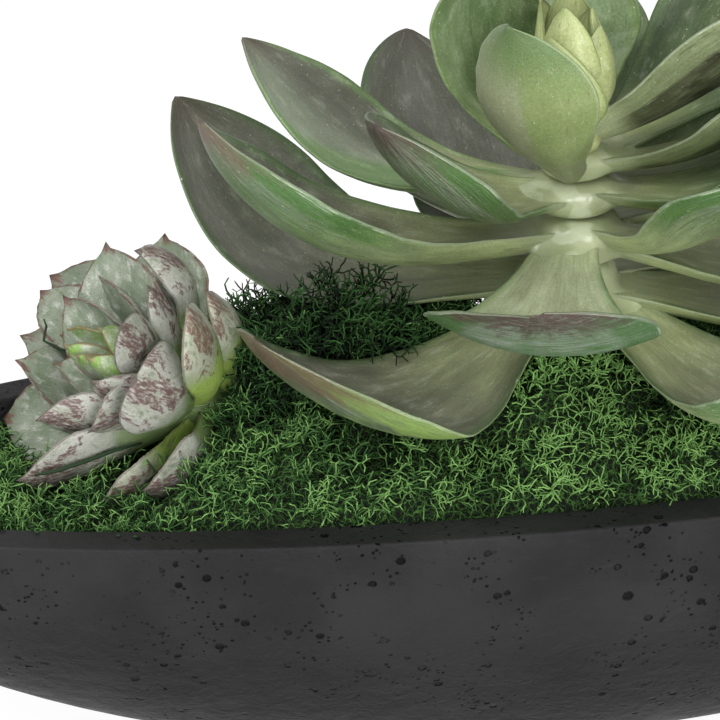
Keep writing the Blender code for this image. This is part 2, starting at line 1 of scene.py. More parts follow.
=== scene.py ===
"""Looks of the succulent dish garden: fine leaves, moss strands, cast concrete and light.

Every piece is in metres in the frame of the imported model. The leaves follow the same rows
and the same leaf surface as the part's source, only finer.
"""
import json
import math
from collections import namedtuple

import bmesh
import bpy
import numpy as np
from mathutils import Matrix, Vector
from mathutils.bvhtree import BVHTree

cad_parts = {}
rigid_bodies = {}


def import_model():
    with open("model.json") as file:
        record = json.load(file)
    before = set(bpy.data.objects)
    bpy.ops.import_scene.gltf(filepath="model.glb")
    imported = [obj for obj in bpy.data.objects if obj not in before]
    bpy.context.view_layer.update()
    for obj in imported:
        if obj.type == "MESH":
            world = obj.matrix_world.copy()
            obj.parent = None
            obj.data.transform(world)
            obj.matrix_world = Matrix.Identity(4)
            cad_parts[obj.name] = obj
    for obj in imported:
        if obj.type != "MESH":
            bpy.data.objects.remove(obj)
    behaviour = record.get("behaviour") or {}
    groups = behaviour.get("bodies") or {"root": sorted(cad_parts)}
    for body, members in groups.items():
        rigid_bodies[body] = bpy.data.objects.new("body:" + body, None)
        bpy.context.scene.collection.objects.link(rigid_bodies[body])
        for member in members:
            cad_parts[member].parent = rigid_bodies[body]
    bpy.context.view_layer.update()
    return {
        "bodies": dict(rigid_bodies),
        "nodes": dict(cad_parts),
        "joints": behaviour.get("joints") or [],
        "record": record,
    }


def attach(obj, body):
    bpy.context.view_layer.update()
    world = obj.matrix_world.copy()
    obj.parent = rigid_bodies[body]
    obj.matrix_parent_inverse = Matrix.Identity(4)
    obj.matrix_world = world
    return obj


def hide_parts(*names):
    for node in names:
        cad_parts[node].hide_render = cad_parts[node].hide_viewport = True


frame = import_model()
NODES = frame["nodes"]
MM = 0.001

# Camera of the photograph
CAMERA_TARGET = Vector((-0.076, 0.0, 0.1385))
CAMERA_DISTANCE = 1.40
CAMERA_TURN = math.radians(-11.0)
CAMERA_RISE = math.radians(26.0)
CAMERA_LENS = 199.5
CAMERA_SENSOR = 36.0

# Bowl
BOWL_LENGTH = 588 * MM
BOWL_WIDTH = 172 * MM
BOWL_HEIGHT = 110 * MM
BASE_SHARES = (0.38, 0.42)
SIDE_POWER = 1.85
SIDE_ROUND = 1.40
WALL = 15 * MM

# Large rosette
LEAF_ROOT = 10 * MM
WHORL_FLOORS = (152 * MM, 172 * MM, 190.5 * MM, 203.5 * MM, 213.5 * MM)
HUB_RADII = (16 * MM, 16 * MM, 15 * MM, 13 * MM)
BUD_LEAF_ROOT = 5 * MM

# Small rosettes
SMALL_AZIMUTH = 188
SMALL_RISE = 36
SMALL_ROOT = (-127 * MM, 5 * MM, 122 * MM)

# One leaf. Angles in degrees, sizes in millimetres: direction seen from above, height of the
# root, length, width, rise of neck and blade, share of the length where one goes over into the
# other, sideways bend, roll at the root, twist, half angle of its trough in radians, rise
# added at the very tip
Leaf = namedtuple("Leaf", "turn height length width neck blade knee bend roll twist channel hook")

WHORL_1 = (
    Leaf(156, 162, 164, 78, -7, 43, 0.52, -8, 8, 0, 0.42, 24),
    Leaf(211, 160, 160, 92, -25, 30, 0.44, 1, -5, 8, 0.36, 27),
    Leaf(304, 160, 155, 86, -21, 35, 0.50, 6, 0, 20, 0.50, 0),
    Leaf(349, 160, 150, 80, -10, 40, 0.50, 0, 0, 0, 0.50, 0),
    Leaf(42, 162, 158, 80, -15, 38, 0.50, 4, 0, 5, 0.50, 10),
    Leaf(90, 162, 150, 82, -22, 36, 0.48, 0, 0, -5, 0.55, 10),
)
WHORL_2 = (
    Leaf(200, 182, 160, 72, 6, 28, 0.47, -11, -5, 2, 0.83, 50),
    Leaf(247, 182, 134, 79, -15, 36, 0.45, 9, 3, -4, 0.34, 0),
    Leaf(313, 184, 95, 66, 4, 38, 0.32, -4, 10, 0, 0.52, 0),
    Leaf(341, 180, 138, 74, -12, 41, 0.46, 0, 0, 4, 0.48, 0),
    Leaf(40, 182, 140, 76, -8, 42, 0.46, 0, 0, 0, 0.45, 10),
    Leaf(112, 180, 136, 80, -16, 40, 0.44, -16, -4, -23, 0.25, -4),
)
WHORL_3 = (
    Leaf(162, 198, 126, 67, 0, 34, 0.48, -15, 0, -5, 0.43, 25),
    Leaf(208, 197, 100, 68, 10, 37, 0.43, 4, 12, -7, 0.68, 30),
    Leaf(327, 198, 114, 72, 4, 40, 0.36, 2, 2, 0, 0.55, 0),
    Leaf(15, 197, 118, 70, 2, 44, 0.42, 0, 0, 0, 0.50, 10),
    Leaf(82, 197, 115, 70, 4, 46, 0.42, 0, 0, 0, 0.50, 10),
)
WHORL_4 = (
    Leaf(150, 208, 81, 50, 28, 77, 0.27, -17, 0, 38, 0.50, 44),
    Leaf(244, 208, 99, 49, 32, 79, 0.50, -24, -2, 0, 0.75, -18),
    Leaf(338.9, 208.8, 97.7, 51.7, 9.8, 35.5, 0.32, -13.3, 10, 16.2, 0.48, -7.4),
    Leaf(32, 208, 118, 69, 10, 54, 0.46, -5, 0, 7, 0.48, 0),
    Leaf(84, 208, 80, 58, 30, 72, 0.44, 0, 0, 4, 0.52, 6),
)
BUD = (
    Leaf(300, 219, 44, 20, 68, 98, 0.50, 0, 0, 0, 0.85, 0),
    Leaf(235, 218, 51, 38, 47, 82, 0.48, -8, 5, 6, 0.80, 4),
    Leaf(350, 218, 48, 20, 72, 104, 0.40, 0, 0, 0, 0.80, 0),
    Leaf(238, 218, 54, 25, 71, 86, 0.50, 0, 0, 0, 0.90, 0),
    Leaf(150, 218, 50, 28, 68, 90, 0.45, 0, 0, 0, 0.90, 0),
    Leaf(94, 219, 54, 24, 75, 94, 0.50, -4, 4, 5, 0.90, 2),
    Leaf(40, 218, 46, 24, 72, 100, 0.45, 0, 0, 0, 0.90, 0),
    Leaf(338.3, 218.8, 119.2, 48.9, 18, 38.2, 0.13, 2.4, 37.5, 0.6, 0.47, -20.9),
)

SMALL_OUTER = (
    Leaf(134, 7, 53, 38, 37, 40, 0.47, -4, -14, -10, 0.64, -25),
    Leaf(146, 6, 62, 36, 73, 40, 0.51, -7, -22, 10, 0.6, -15),
    Leaf(175, 7, 72, 38, 32, 40, 0.5, 13, -4, -3, 0.52, -2),
    Leaf(203, 4, 70, 31, 28, 56, 0.42, 0, 0, 0, 0.55, 0),
    Leaf(238, 8, 72, 38, 28, 40, 0.65, -25, -14, 30, 0.53, -21),
    Leaf(277, 6, 66, 31, 45, 41, 0.52, 13, -43, -7, 0.3, 15),
    Leaf(295, 5, 47, 26, 18, 60, 0.64, 2, -48, 9, 0.3, -20),
    Leaf(333, 4, 46, 26, 6, 43, 0.42, -25, -54, 30, 0.3, 2),
    Leaf(80, 0, 44, 26, 26, 64, 0.49, 10, 42, -27, 0.3, 4),
)
SMALL_MIDDLE = (
    Leaf(114, 15, 53, 22, 26, 69, 0.58, -3, 45, -4, 0.37, 39),
    Leaf(188, 15, 61, 27, 54, 40, 0.46, -7, -38, 16, 0.64, -17),
    Leaf(223, 15, 60, 30, 25, 86, 0.46, 1, -5, -1, 0.65, 1),
    Leaf(282, 14, 51, 22, 53, 77, 0.45, 4, -52, 0, 0.5, -24),
    Leaf(312, 12, 40, 26, 72, 42, 0.55, -16, -55, 14, 0.32, -10),
    Leaf(4, 15, 41, 36, 36, 70, 0.4, 4, -24, 24, 0.76, -3),
    Leaf(34, 10, 61, 27, 23, 50, 0.3, 25, 21, -21, 0.48, 2),
)
SMALL_INNER = (
    Leaf(102, 17, 36, 18, 43, 57, 0.49, -5, 43, 9, 0.36, 8),
    Leaf(132, 20, 42, 18, 60, 47, 0.44, 12, 21, -5, 0.3, 28),
    Leaf(180, 20, 46, 30, 71, 40, 0.52, -14, 32, -30, 0.99, 10),
    Leaf(228, 18, 40, 23, 50, 74, 0.45, 0, 0, 0, 0.6, 0),
    Leaf(262, 14, 33, 24, 48, 66, 0.48, 0, 4, 0, 0.75, 0),
    Leaf(325, 18, 36, 24, 56, 82, 0.45, 0, 0, 0, 0.6, 8),
    Leaf(46, 20, 46, 23, 64, 55, 0.49, -25, 12, -12, 0.88, 1),
)
SMALL_HEART = (
    Leaf(193, 27, 37, 20, 55, 40, 0.5, 10, 43, 1, 0.64, -22),
    Leaf(242, 26, 35, 15, 72, 105, 0.51, 19, -60, -24, 0.41, -25),
    Leaf(270, 27, 30, 15, 69, 105, 0.49, 6, -37, -12, 0.3, -25),
    Leaf(330, 26, 30, 16, 66, 90, 0.45, 0, 0, 0, 0.8, 8),
    Leaf(60, 24, 34, 18, 64, 88, 0.45, 0, 0, 0, 0.8, 8),
)

# Shape that all leaves share
KNEE_REACH = 0.5
TIP_ROUND = 1.9
TIP_POINT = 0.9
BLADE_SET = 0.6
BLADE_THINS = 0.8
UPPER_SHARE = 0.35

Plan = namedtuple("Plan", "neck widest root_thick mid_thick edge_thick")
LOWER_PLAN = Plan(0.27, 0.66, 7.5, 5.5, 1.0)
UPPER_PLAN = Plan(0.27, 0.66, 6.0, 4.8, 1.0)
BUD_PLAN = Plan(0.45, 0.50, 4.0, 3.2, 0.8)
SMALL_PLAN = Plan(0.45, 0.66, 5.0, 5.5, 1.0)
HEART_PLAN = Plan(0.50, 0.55, 3.5, 4.0, 0.9)

WHORLS = ((WHORL_1, LOWER_PLAN), (WHORL_2, LOWER_PLAN), (WHORL_3, UPPER_PLAN), (WHORL_4, UPPER_PLAN))
SMALL_RINGS = ((SMALL_OUTER, SMALL_PLAN, 7 * MM), (SMALL_MIDDLE, SMALL_PLAN, 7 * MM),
               (SMALL_INNER, HEART_PLAN, 4 * MM), (SMALL_HEART, HEART_PLAN, 2 * MM))


# Which finishes the leaves have, inner and outer: each whorl's own, then single leaves that differ
WHORL_LOOKS = (("taupe", "dark"), ("taupe", "dark"), ("green", "light"), ("green", "light"))
LEAF_LOOKS = {(1, 1): ("taupe", "left"), (2, 1): ("pale", "middle"), (3, 0): ("wide", "light"),
              (3, 1): ("taupe", "purple"), (4, 1): ("green", "front"), (4, 2): ("olive", "brown"),
              (4, 3): ("deep", "light"), (4, 4): ("green", "light")}
BUD_LARGE = (7,)

# Small leaves that are lime over most of their outer face: ring and place in it
SMALL_LIME = ((0, 6), (0, 8), (1, 6))

# Twigs on the moss, in millimetres with their radius, and crumbs on the rim
TWIGS = ((((-193.9, -20.4, 115.1), (-185.4, -19.0, 115.5), (-174.5, -16.0, 116.8), (-165.4, -13.2, 118.3),
           (-155.0, -9.4, 118.2)), 0.7),
         (((-184.0, 24.0, 153.0), (-183.3, 23.5, 150.4), (-184.6, 22.0, 145.6), (-182.0, 21.5, 144.0),
           (-178.9, 21.0, 141.8), (-174.0, 20.5, 142.2)), 0.5))
CRUMBS = ((-198.5, -48.5, 110.4), (-197.2, -53.0, 110.4), (-170.7, -60.5, 110.4), (-165.2, -62.3, 110.4))

# Larger pits in the bowl's wall: place and radius
BOWL_PITS = (((1.3 * MM, -82.9 * MM, 81.2 * MM), 2.1 * MM), ((-104.3 * MM, -74.4 * MM, 72.6 * MM), 1.6 * MM),
             ((-165.7 * MM, -55.7 * MM, 51.7 * MM), 1.7 * MM), ((-199.2 * MM, -57.6 * MM, 78.6 * MM), 1.0 * MM))


def srgb(red, green, blue):
    """Linear colour from screen values of 0 to 255."""
    values = np.array([red, green, blue]) / 255
    linear = np.where(values <= 0.04045, values / 12.92, ((values + 0.055) / 1.055) ** 2.4)
    return (*linear.tolist(), 1.0)


class Paint:
    """One material and short ways to add its nodes."""

    def __init__(self, name):
        self.material = bpy.data.materials.new(name)
        self.material.use_nodes = True
        self.tree = self.material.node_tree
        self.shader = self.tree.nodes["Principled BSDF"]

    def node(self, kind, links=(), **settings):
        made = self.tree.nodes.new(kind)
        for key, value in settings.items():
            setattr(made, key, value)
        for place, value in links:
            self.put(made.inputs[place], value)
        return made

    def put(self, socket, value):
        if isinstance(value, bpy.types.NodeSocket):
            self.tree.links.new(value, socket)
        else:
            socket.default_value = value

    def sum(self, operation, first, second=0.0, third=0.0):
        made = self.node("ShaderNodeMath", ((0, first), (1, second), (2, third)), operation=operation)
        return made.outputs[0]

    def step(self, value, low, high, bottom=0.0, top=1.0):
        """Soft step of value from low to high, clamped."""
        made = self.node("ShaderNodeMapRange", (("Value", value), ("From Min", low), ("From Max", high),
                                                ("To Min", bottom), ("To Max", top)),
                         interpolation_type="SMOOTHSTEP")
        return made.outputs["Result"]

    def mix(self, share, first, second, kind="MIX"):
        made = self.node("ShaderNodeMix", data_type="RGBA", blend_type=kind)
        self.put(made.inputs[0], share)
        self.put(made.inputs[6], first)
        self.put(made.inputs[7], second)
        return made.outputs[2]

    def uv(self, name):
        return self.node("ShaderNodeUVMap", uv_map=name).outputs["UV"]

    def parts(self, vector):
        made = self.node("ShaderNodeSeparateXYZ", ((0, vector),))
        return made.outputs[0], made.outputs[1]

    def scaled(self, vector, across, along, deep=1.0):
        made = self.node("ShaderNodeMapping", (("Vector", vector), ("Scale", (across, along, deep))))
        return made.outputs[0]

    def noise(self, vector, scale, detail=3.0, rough=0.55, distortion=0.0):
        made = self.node("ShaderNodeTexNoise", (("Vector", vector), ("Scale", scale), ("Detail", detail),
                                                ("Roughness", rough), ("Distortion", distortion)))
        return made.outputs["Fac"]

    def cells(self, vector, scale, feature="F1"):
        made = self.node("ShaderNodeTexVoronoi", (("Vector", vector), ("Scale", scale)), feature=feature)
        return made.outputs["Distance"]

    def bump(self, height, distance, strength=1.0, normal=None):
        made = self.node("ShaderNodeBump", (("Height", height), ("Distance", distance),
                                            ("Strength", strength)))
        if normal is not None:
            self.put(made.inputs["Normal"], normal)
        return made.outputs[0]

    def finish(self, colour, roughness, normal=None, specular=0.5, coat=0.0):
        self.put(self.shader.inputs["Base Color"], colour)
        self.put(self.shader.inputs["Roughness"], roughness)
        self.shader.inputs["Specular IOR Level"].default_value = specular
        if coat:
            self.shader.inputs["Coat Weight"].default_value = coat
            self.shader.inputs["Coat Roughness"].default_value = 0.35
        if normal is not None:
            self.put(self.shader.inputs["Normal"], normal)
        return self.material


# Materials of the leaves. The uv map "place" holds where a point lies on its leaf (0 to 1
# across, 0 to 1 along), "flat" the same in metres, moved on from leaf to leaf, so that
# noise keeps its real size and no two leaves share a pattern.

def shaded(paint, colour, shade):
    """Colour made lighter or darker by a factor."""
    grey = paint.node("ShaderNodeCombineXYZ", ((0, shade), (1, shade), (2, shade))).outputs[0]
    return paint.mix(1.0, colour, grey, "MULTIPLY")


def weathered(paint, colour, flat):
    """Marks of handling: fine scratches along the leaf, pale dots of dust, dark hair lines, grain."""
    scratch = paint.noise(paint.scaled(flat, 1300, 190), 1.0, 4.0, 0.65, 0.8)
    grain = paint.noise(flat, 900, 4.0, 0.75)
    region = paint.noise(flat, 60, 3.0)
    pale = paint.sum("MULTIPLY", paint.step(scratch, 0.58, 0.72, 0.0, 0.5), paint.step(region, 0.45, 0.60))
    colour = paint.mix(pale, colour, srgb(196, 206, 186))
    dark = paint.sum("MULTIPLY", paint.step(scratch, 0.42, 0.30, 0.0, 0.6), paint.step(region, 0.56, 0.42))
    colour = paint.mix(dark, colour, srgb(48, 70, 42))
    dots = paint.sum("MULTIPLY", paint.step(paint.cells(flat, 420), 0.18, 0.08, 0.0, 0.6),
                     paint.step(grain, 0.50, 0.58))
    colour = paint.mix(dots, colour, srgb(206, 212, 196))
    return shaded(paint, colour, paint.step(grain, 0.25, 0.75, 0.80, 1.20))


def leaf_upper(name, body, second, base, margin, tip, root_reach=0.45, near=None):
    """Smooth inner face: clouded body, pale root, green margin, darker tip, faint chalk and flecks.

    near is 0 or 1 where the green margin is much wider on that side, with pale streaks.
    """
    paint = Paint(name)
    across, along = paint.parts(paint.uv("place"))
    flat = paint.uv("flat")
    out = paint.sum("ABSOLUTE", paint.sum("MULTIPLY_ADD", across, 2.0, -1.0))
    cloud = paint.noise(paint.scaled(flat, 46, 24), 1.0, 4.0)
    patch = paint.noise(paint.scaled(flat, 130, 80), 1.0, 4.0, 0.6)
    streak = paint.noise(paint.scaled(flat, 700, 50), 1.0, 4.0, 0.65)
    rooted = paint.step(paint.sum("MULTIPLY_ADD", cloud, -0.25, along), root_reach, -0.12)
    edged = paint.step(paint.sum("MULTIPLY_ADD", patch, 0.24, out), 0.94, 1.12)
    tipped = paint.step(paint.sum("MULTIPLY_ADD", patch, 0.22, along), 0.98, 1.14)
    colour = paint.mix(paint.step(cloud, 0.34, 0.66), body, second)
    colour = paint.mix(rooted, colour, base)
    if near is not None:
        side = paint.sum("ABSOLUTE", paint.sum("SUBTRACT", across, float(near)))
        side = paint.sum("MULTIPLY_ADD", patch, 0.16, side)
        colour = paint.mix(paint.step(side, 0.84, 0.50, 0.0, 0.85), colour, srgb(138, 148, 124))
        pale = paint.sum("MULTIPLY", paint.step(side, 0.44, 0.26), paint.step(streak, 0.42, 0.62))
        colour = paint.mix(paint.sum("MULTIPLY", pale, 0.7), colour, srgb(170, 184, 160))
        lower = paint.sum("MULTIPLY_ADD", along, 1.2, paint.sum("SUBTRACT", side, 0.86))
        colour = paint.mix(paint.step(lower, 0.34, 0.14, 0.0, 0.9), colour, margin)
    colour = paint.mix(paint.sum("MULTIPLY", edged, 0.60), colour, margin)
    colour = paint.mix(paint.sum("MULTIPLY", tipped, 0.8), colour, tip)
    colour = paint.mix(paint.step(patch, 0.54, 0.70, 0.0, 0.22), colour, srgb(176, 180, 166))
    colour = paint.mix(paint.step(along, 0.17, 0.07), colour, srgb(168, 178, 138))
    line = paint.sum("MULTIPLY", paint.step(out, 0.95, 0.985), paint.step(patch, 0.40, 0.60, 0.0, 0.5))
    colour = paint.mix(line, colour, srgb(58, 78, 46))
    fleck = paint.sum("MULTIPLY", paint.step(paint.cells(flat, 90), 0.06, 0.03), paint.step(patch, 0.50, 0.60))
    colour = paint.mix(paint.sum("MULTIPLY", fleck, 0.7), colour, srgb(48, 54, 40))
    shade = paint.sum("MULTIPLY", paint.step(streak, 0.25, 0.75, 0.91, 1.08), paint.step(patch, 0.25, 0.75, 0.82, 1.16))
    colour = shaded(paint, colour, paint.sum("MULTIPLY", shade, paint.step(cloud, 0.2, 0.8, 0.84, 1.14)))
    colour = weathered(paint, colour, flat)
    normal = paint.bump(streak, 0.0003, 0.5)
    normal = paint.bump(patch, 0.0010, 0.5, normal)
    roughness = paint.step(patch, 0.3, 0.7, 0.30, 0.52)
    return paint.finish(colour, roughness, normal, 0.4)


def leaf_lower(name, body, silver, band, lime, tip, tip_reach=0.96, root_reach=0.50, folded=False,
               band_from=0.82, band_end=-1.0):
    """Outer face: green margin band with a pale edge painted as a highlight, silvery streaked body, lime root, dark
    tip.

    folded turns the streaks across the leaf, as on a tip that is bent down. band_end is how far
    along the leaf the band begins to show.
    """
    paint = Paint(name)
    across, along = paint.parts(paint.uv("place"))
    flat = paint.uv("flat")
    out = paint.sum("ABSOLUTE", paint.sum("MULTIPLY_ADD", across, 2.0, -1.0))
    narrow, wide = ((60, 1000) if folded else (1000, 60))
    cloud = paint.noise(paint.scaled(flat, 60, 24), 1.0, 4.0)
    patch = paint.noise(paint.scaled(flat, 210, 70), 1.0, 4.0, 0.62)
    streak = paint.noise(paint.scaled(flat, narrow, wide), 1.0, 5.0, 0.72, 0.2)
    smear = paint.noise(paint.scaled(flat, 0.35 * narrow, 0.6 * wide), 1.0, 4.0, 0.7, 0.5)
    wander = paint.sum("MULTIPLY_ADD", cloud, 0.12, paint.sum("MULTIPLY_ADD", patch, 0.14, out))
    banded = paint.sum("MULTIPLY", paint.step(wander, band_from, band_from + 0.12),
                       paint.step(streak, 0.72, 0.50, 0.5, 1.0))
    banded = paint.sum("MULTIPLY", banded, paint.step(along, band_end, band_end + 0.3))
    rooted = paint.step(paint.sum("MULTIPLY_ADD", patch, -0.25, along), root_reach, -0.08)
    tipped = paint.step(paint.sum("MULTIPLY_ADD", patch, 0.40, along), tip_reach + 0.06, tip_reach + 0.24)
    silvery = paint.sum("MULTIPLY", paint.step(streak, 0.44, 0.58), paint.step(cloud, 0.30, 0.56, 0.35, 1.0))
    colour = paint.mix(paint.step(patch, 0.36, 0.66), body, band)
    colour = paint.mix(paint.step(cloud, 0.44, 0.60, 0.0, 0.7), colour, body)
    colour = paint.mix(paint.sum("MULTIPLY", silvery, 0.75), colour, silver)
    colour = paint.mix(paint.sum("MULTIPLY", rooted, 0.85), colour, lime)
    colour = paint.mix(paint.sum("MULTIPLY", banded, 0.85), colour, band)
    colour = paint.mix(paint.sum("MULTIPLY", tipped, paint.step(streak, 0.68, 0.48, 0.35, 0.95)), colour, tip)
    colour = paint.mix(paint.step(smear, 0.58, 0.70, 0.0, 0.60), colour, srgb(58, 80, 48))
    colour = paint.mix(paint.step(smear, 0.38, 0.28, 0.0, 0.60), colour, srgb(178, 190, 170))
    colour = paint.mix(paint.step(along, 0.17, 0.07), colour, srgb(168, 178, 138))
    # Painted highlight: a thin, broken pale line along the margin.
    line = paint.sum("MULTIPLY", paint.step(out, 0.972, 0.99), paint.step(patch, 0.42, 0.60, 0.1, 0.7))
    colour = paint.mix(line, colour, srgb(178, 188, 164))
    colour = weathered(paint, shaded(paint, colour, paint.step(patch, 0.25, 0.75, 0.84, 1.14)), flat)
    normal = paint.bump(streak, 0.0004, 0.7)
    normal = paint.bump(smear, 0.0004, 0.5, normal)
    roughness = paint.step(streak, 0.3, 0.7, 0.34, 0.54)
    return paint.finish(colour, roughness, normal, 0.45)


def front_leaf(name):
    """Outer face of the leaf in front of the bud: grey green half, yellow green half, powdered top, pale margin painted
    as a highlight.
    """
    paint = Paint(name)
    across, along = paint.parts(paint.uv("place"))
    flat = paint.uv("flat")
    patch = paint.noise(paint.scaled(flat, 150, 90), 1.0, 4.0, 0.6)
    cloud = paint.noise(paint.scaled(flat, 60, 34), 1.0, 3.0, 0.6)
    grain = paint.noise(flat, 2200, 4.0, 0.7)
    streak = paint.noise(paint.scaled(flat, 420, 40), 1.0, 4.0, 0.65)
    side = paint.sum("MULTIPLY_ADD", patch, 0.05, across)
    grey_half = paint.sum("MULTIPLY", paint.step(side, 0.49, 0.555), paint.step(along, 0.92, 0.70))
    high = paint.sum("MULTIPLY_ADD", cloud, 0.40, along)
    powder = paint.sum("MULTIPLY", paint.step(high, 0.80, 1.10), paint.step(grain, 0.44, 0.62))
    colour = paint.mix(paint.step(along, 0.12, 0.50), srgb(122, 126, 98), srgb(134, 148, 96))
    colour = paint.mix(paint.step(patch, 0.40, 0.70, 0.0, 0.7), colour, srgb(124, 146, 86))
    colour = paint.mix(paint.sum("MULTIPLY", grey_half, 0.8), colour, srgb(142, 148, 118))
    colour = paint.mix(paint.step(high, 0.90, 1.22, 0.0, 0.8), colour, srgb(92, 118, 76))
    colour = paint.mix(paint.sum("MULTIPLY", powder, 0.75), colour, srgb(62, 90, 46))
    # Painted highlight: a pale line along the margin.
    edge = paint.sum("ABSOLUTE", paint.sum("MULTIPLY_ADD", across, 2.0, -1.0))
    colour = paint.mix(paint.step(edge, 0.95, 1.0, 0.0, 0.4), colour, srgb(176, 190, 150))
    shade = paint.sum("MULTIPLY", paint.step(streak, 0.2, 0.8, 0.94, 1.05), paint.step(grain, 0.2, 0.8, 0.88, 1.12))
    shade = paint.sum("MULTIPLY", shade, paint.step(cloud, 0.3, 0.7, 0.86, 1.12))
    colour = weathered(paint, shaded(paint, colour, shade), flat)
    normal = paint.bump(streak, 0.0003, 0.5)
    normal = paint.bump(grain, 0.0002, 0.6, normal)
    return paint.finish(colour, paint.step(patch, 0.3, 0.7, 0.36, 0.50), normal, 0.45)


def hub_paint():
    """Pale moulded root of a whorl, glossy where glue has run, and painted lighter there as a highlight."""
    paint = Paint("hub")
    where = paint.node("ShaderNodeTexCoord").outputs["Object"]
    cloud = paint.noise(where, 70, 4.0)
    grain = paint.noise(where, 900, 3.0, 0.6)
    glue_and_highlight = paint.step(paint.noise(where, 95, 1.0), 0.56, 0.62)
    colour = paint.mix(paint.step(cloud, 0.3, 0.7), srgb(158, 168, 128), srgb(178, 186, 148))
    # Painted highlight: where glue has run, the colour is painted lighter, besides being glossy.
    colour = paint.mix(paint.sum("MULTIPLY", glue_and_highlight, 0.42), colour, srgb(218, 226, 198))
    normal = paint.bump(cloud, 0.002, 0.5)
    normal = paint.bump(grain, 0.00015, 0.4, normal)
    return paint.finish(colour, paint.step(glue_and_highlight, 0.0, 1.0, 0.5, 0.16), normal, 0.5)


def small_upper(name, body, base, margin):
    """Inner face of a small rosette's leaf: bloomed grey green with a thin, broken rusty margin."""
    paint = Paint(name)
    across, along = paint.parts(paint.uv("place"))
    flat = paint.uv("flat")
    out = paint.sum("ABSOLUTE", paint.sum("MULTIPLY_ADD", across, 2.0, -1.0))
    cloud = paint.noise(flat, 110, 4.0)
    blotch = paint.noise(paint.scaled(flat, 300, 170), 1.0, 5.0, 0.72)
    fine = paint.noise(flat, 1500, 3.0, 0.6)
    border = paint.sum("MULTIPLY_ADD", blotch, 0.24, out)
    near_tip = paint.sum("MULTIPLY_ADD", blotch, 0.55, along)
    edged = paint.sum("MAXIMUM", paint.step(border, 1.07, 1.13), paint.step(near_tip, 1.20, 1.30))
    edged = paint.sum("MULTIPLY", edged, paint.step(blotch, 0.40, 0.52, 0.35, 1.0))
    colour = paint.mix(paint.step(cloud, 0.32, 0.70), body, srgb(150, 158, 140))
    colour = paint.mix(paint.step(along, 0.50, 0.05), colour, base)
    colour = paint.mix(paint.step(blotch, 0.50, 0.66, 0.0, 0.7), colour, srgb(204, 206, 198))
    colour = paint.mix(paint.step(blotch, 0.42, 0.32, 0.0, 0.7), colour, srgb(94, 110, 84))
    colour = paint.mix(paint.sum("MULTIPLY", edged, 0.85), colour, margin)
    colour = shaded(paint, colour, paint.step(fine, 0.25, 0.75, 0.84, 1.12))
    normal = paint.bump(blotch, 0.0008, 0.6)
    normal = paint.bump(fine, 0.0002, 0.5, normal)
    return paint.finish(colour, paint.step(cloud, 0.2, 0.8, 0.38, 0.56), normal, 0.45)


def small_lower(name, base, bloom, mottle, lime=0.34):
    """Outer face: green root, whitish bloom, purple brown smears down the middle and at the tip."""
    paint = Paint(name)
    across, along = paint.parts(paint.uv("place"))
    flat = paint.uv("flat")
    out = paint.sum("ABSOLUTE", paint.sum("MULTIPLY_ADD", across, 2.0, -1.0))
    cloud = paint.noise(flat, 90, 4.0)
    blotch = paint.noise(paint.scaled(flat, 170, 95), 1.0, 5.0, 0.72, 0.5)
    scratch = paint.noise(paint.scaled(flat, 1200, 340), 1.0, 4.0, 0.7, 0.5)
    speck = paint.noise(flat, 1700, 3.0, 0.7)
    rise = paint.sum("MULTIPLY_ADD", cloud, 0.35, along)
    heavy = paint.sum("MULTIPLY_ADD", rise, 0.40, blotch)
    heavy = paint.sum("MULTIPLY_ADD", out, -0.12, heavy)
    colour = paint.mix(paint.step(rise, lime + 0.10, lime + 0.42), base, srgb(134, 146, 118))
    whitened = paint.sum("MULTIPLY", paint.step(rise, lime + 0.14, lime + 0.44),
                         paint.step(blotch, 0.34, 0.56, 0.45, 1.0))
    colour = paint.mix(paint.sum("MULTIPLY", whitened, 0.9), colour, bloom)
    mottled = paint.sum("MULTIPLY", paint.step(heavy, 0.78, 0.86), paint.step(scratch, 0.70, 0.44))
    colour = paint.mix(paint.sum("MULTIPLY", mottled, 0.9), colour, mottle)
    stained = paint.sum("MULTIPLY", paint.step(blotch, 0.44, 0.34), paint.step(scratch, 0.60, 0.44))
    colour = paint.mix(paint.sum("MULTIPLY", stained, 0.6), colour, srgb(96, 108, 82))
    colour = paint.mix(paint.step(scratch, 0.60, 0.74, 0.0, 0.6), colour, srgb(214, 214, 206))
    edged = paint.step(paint.sum("MULTIPLY_ADD", blotch, 0.2, out), 1.08, 1.13)
    colour = paint.mix(paint.sum("MULTIPLY", edged, 0.6), colour, srgb(112, 66, 54))
    colour = shaded(paint, colour, paint.step(speck, 0.25, 0.75, 0.86, 1.12))
    normal = paint.bump(blotch, 0.0012, 0.6)
    normal = paint.bump(scratch, 0.0004, 0.7, normal)
    normal = paint.bump(speck, 0.0002, 0.5, normal)
    return paint.finish(colour, paint.step(speck, 0.3, 0.7, 0.32, 0.52), normal, 0.5)


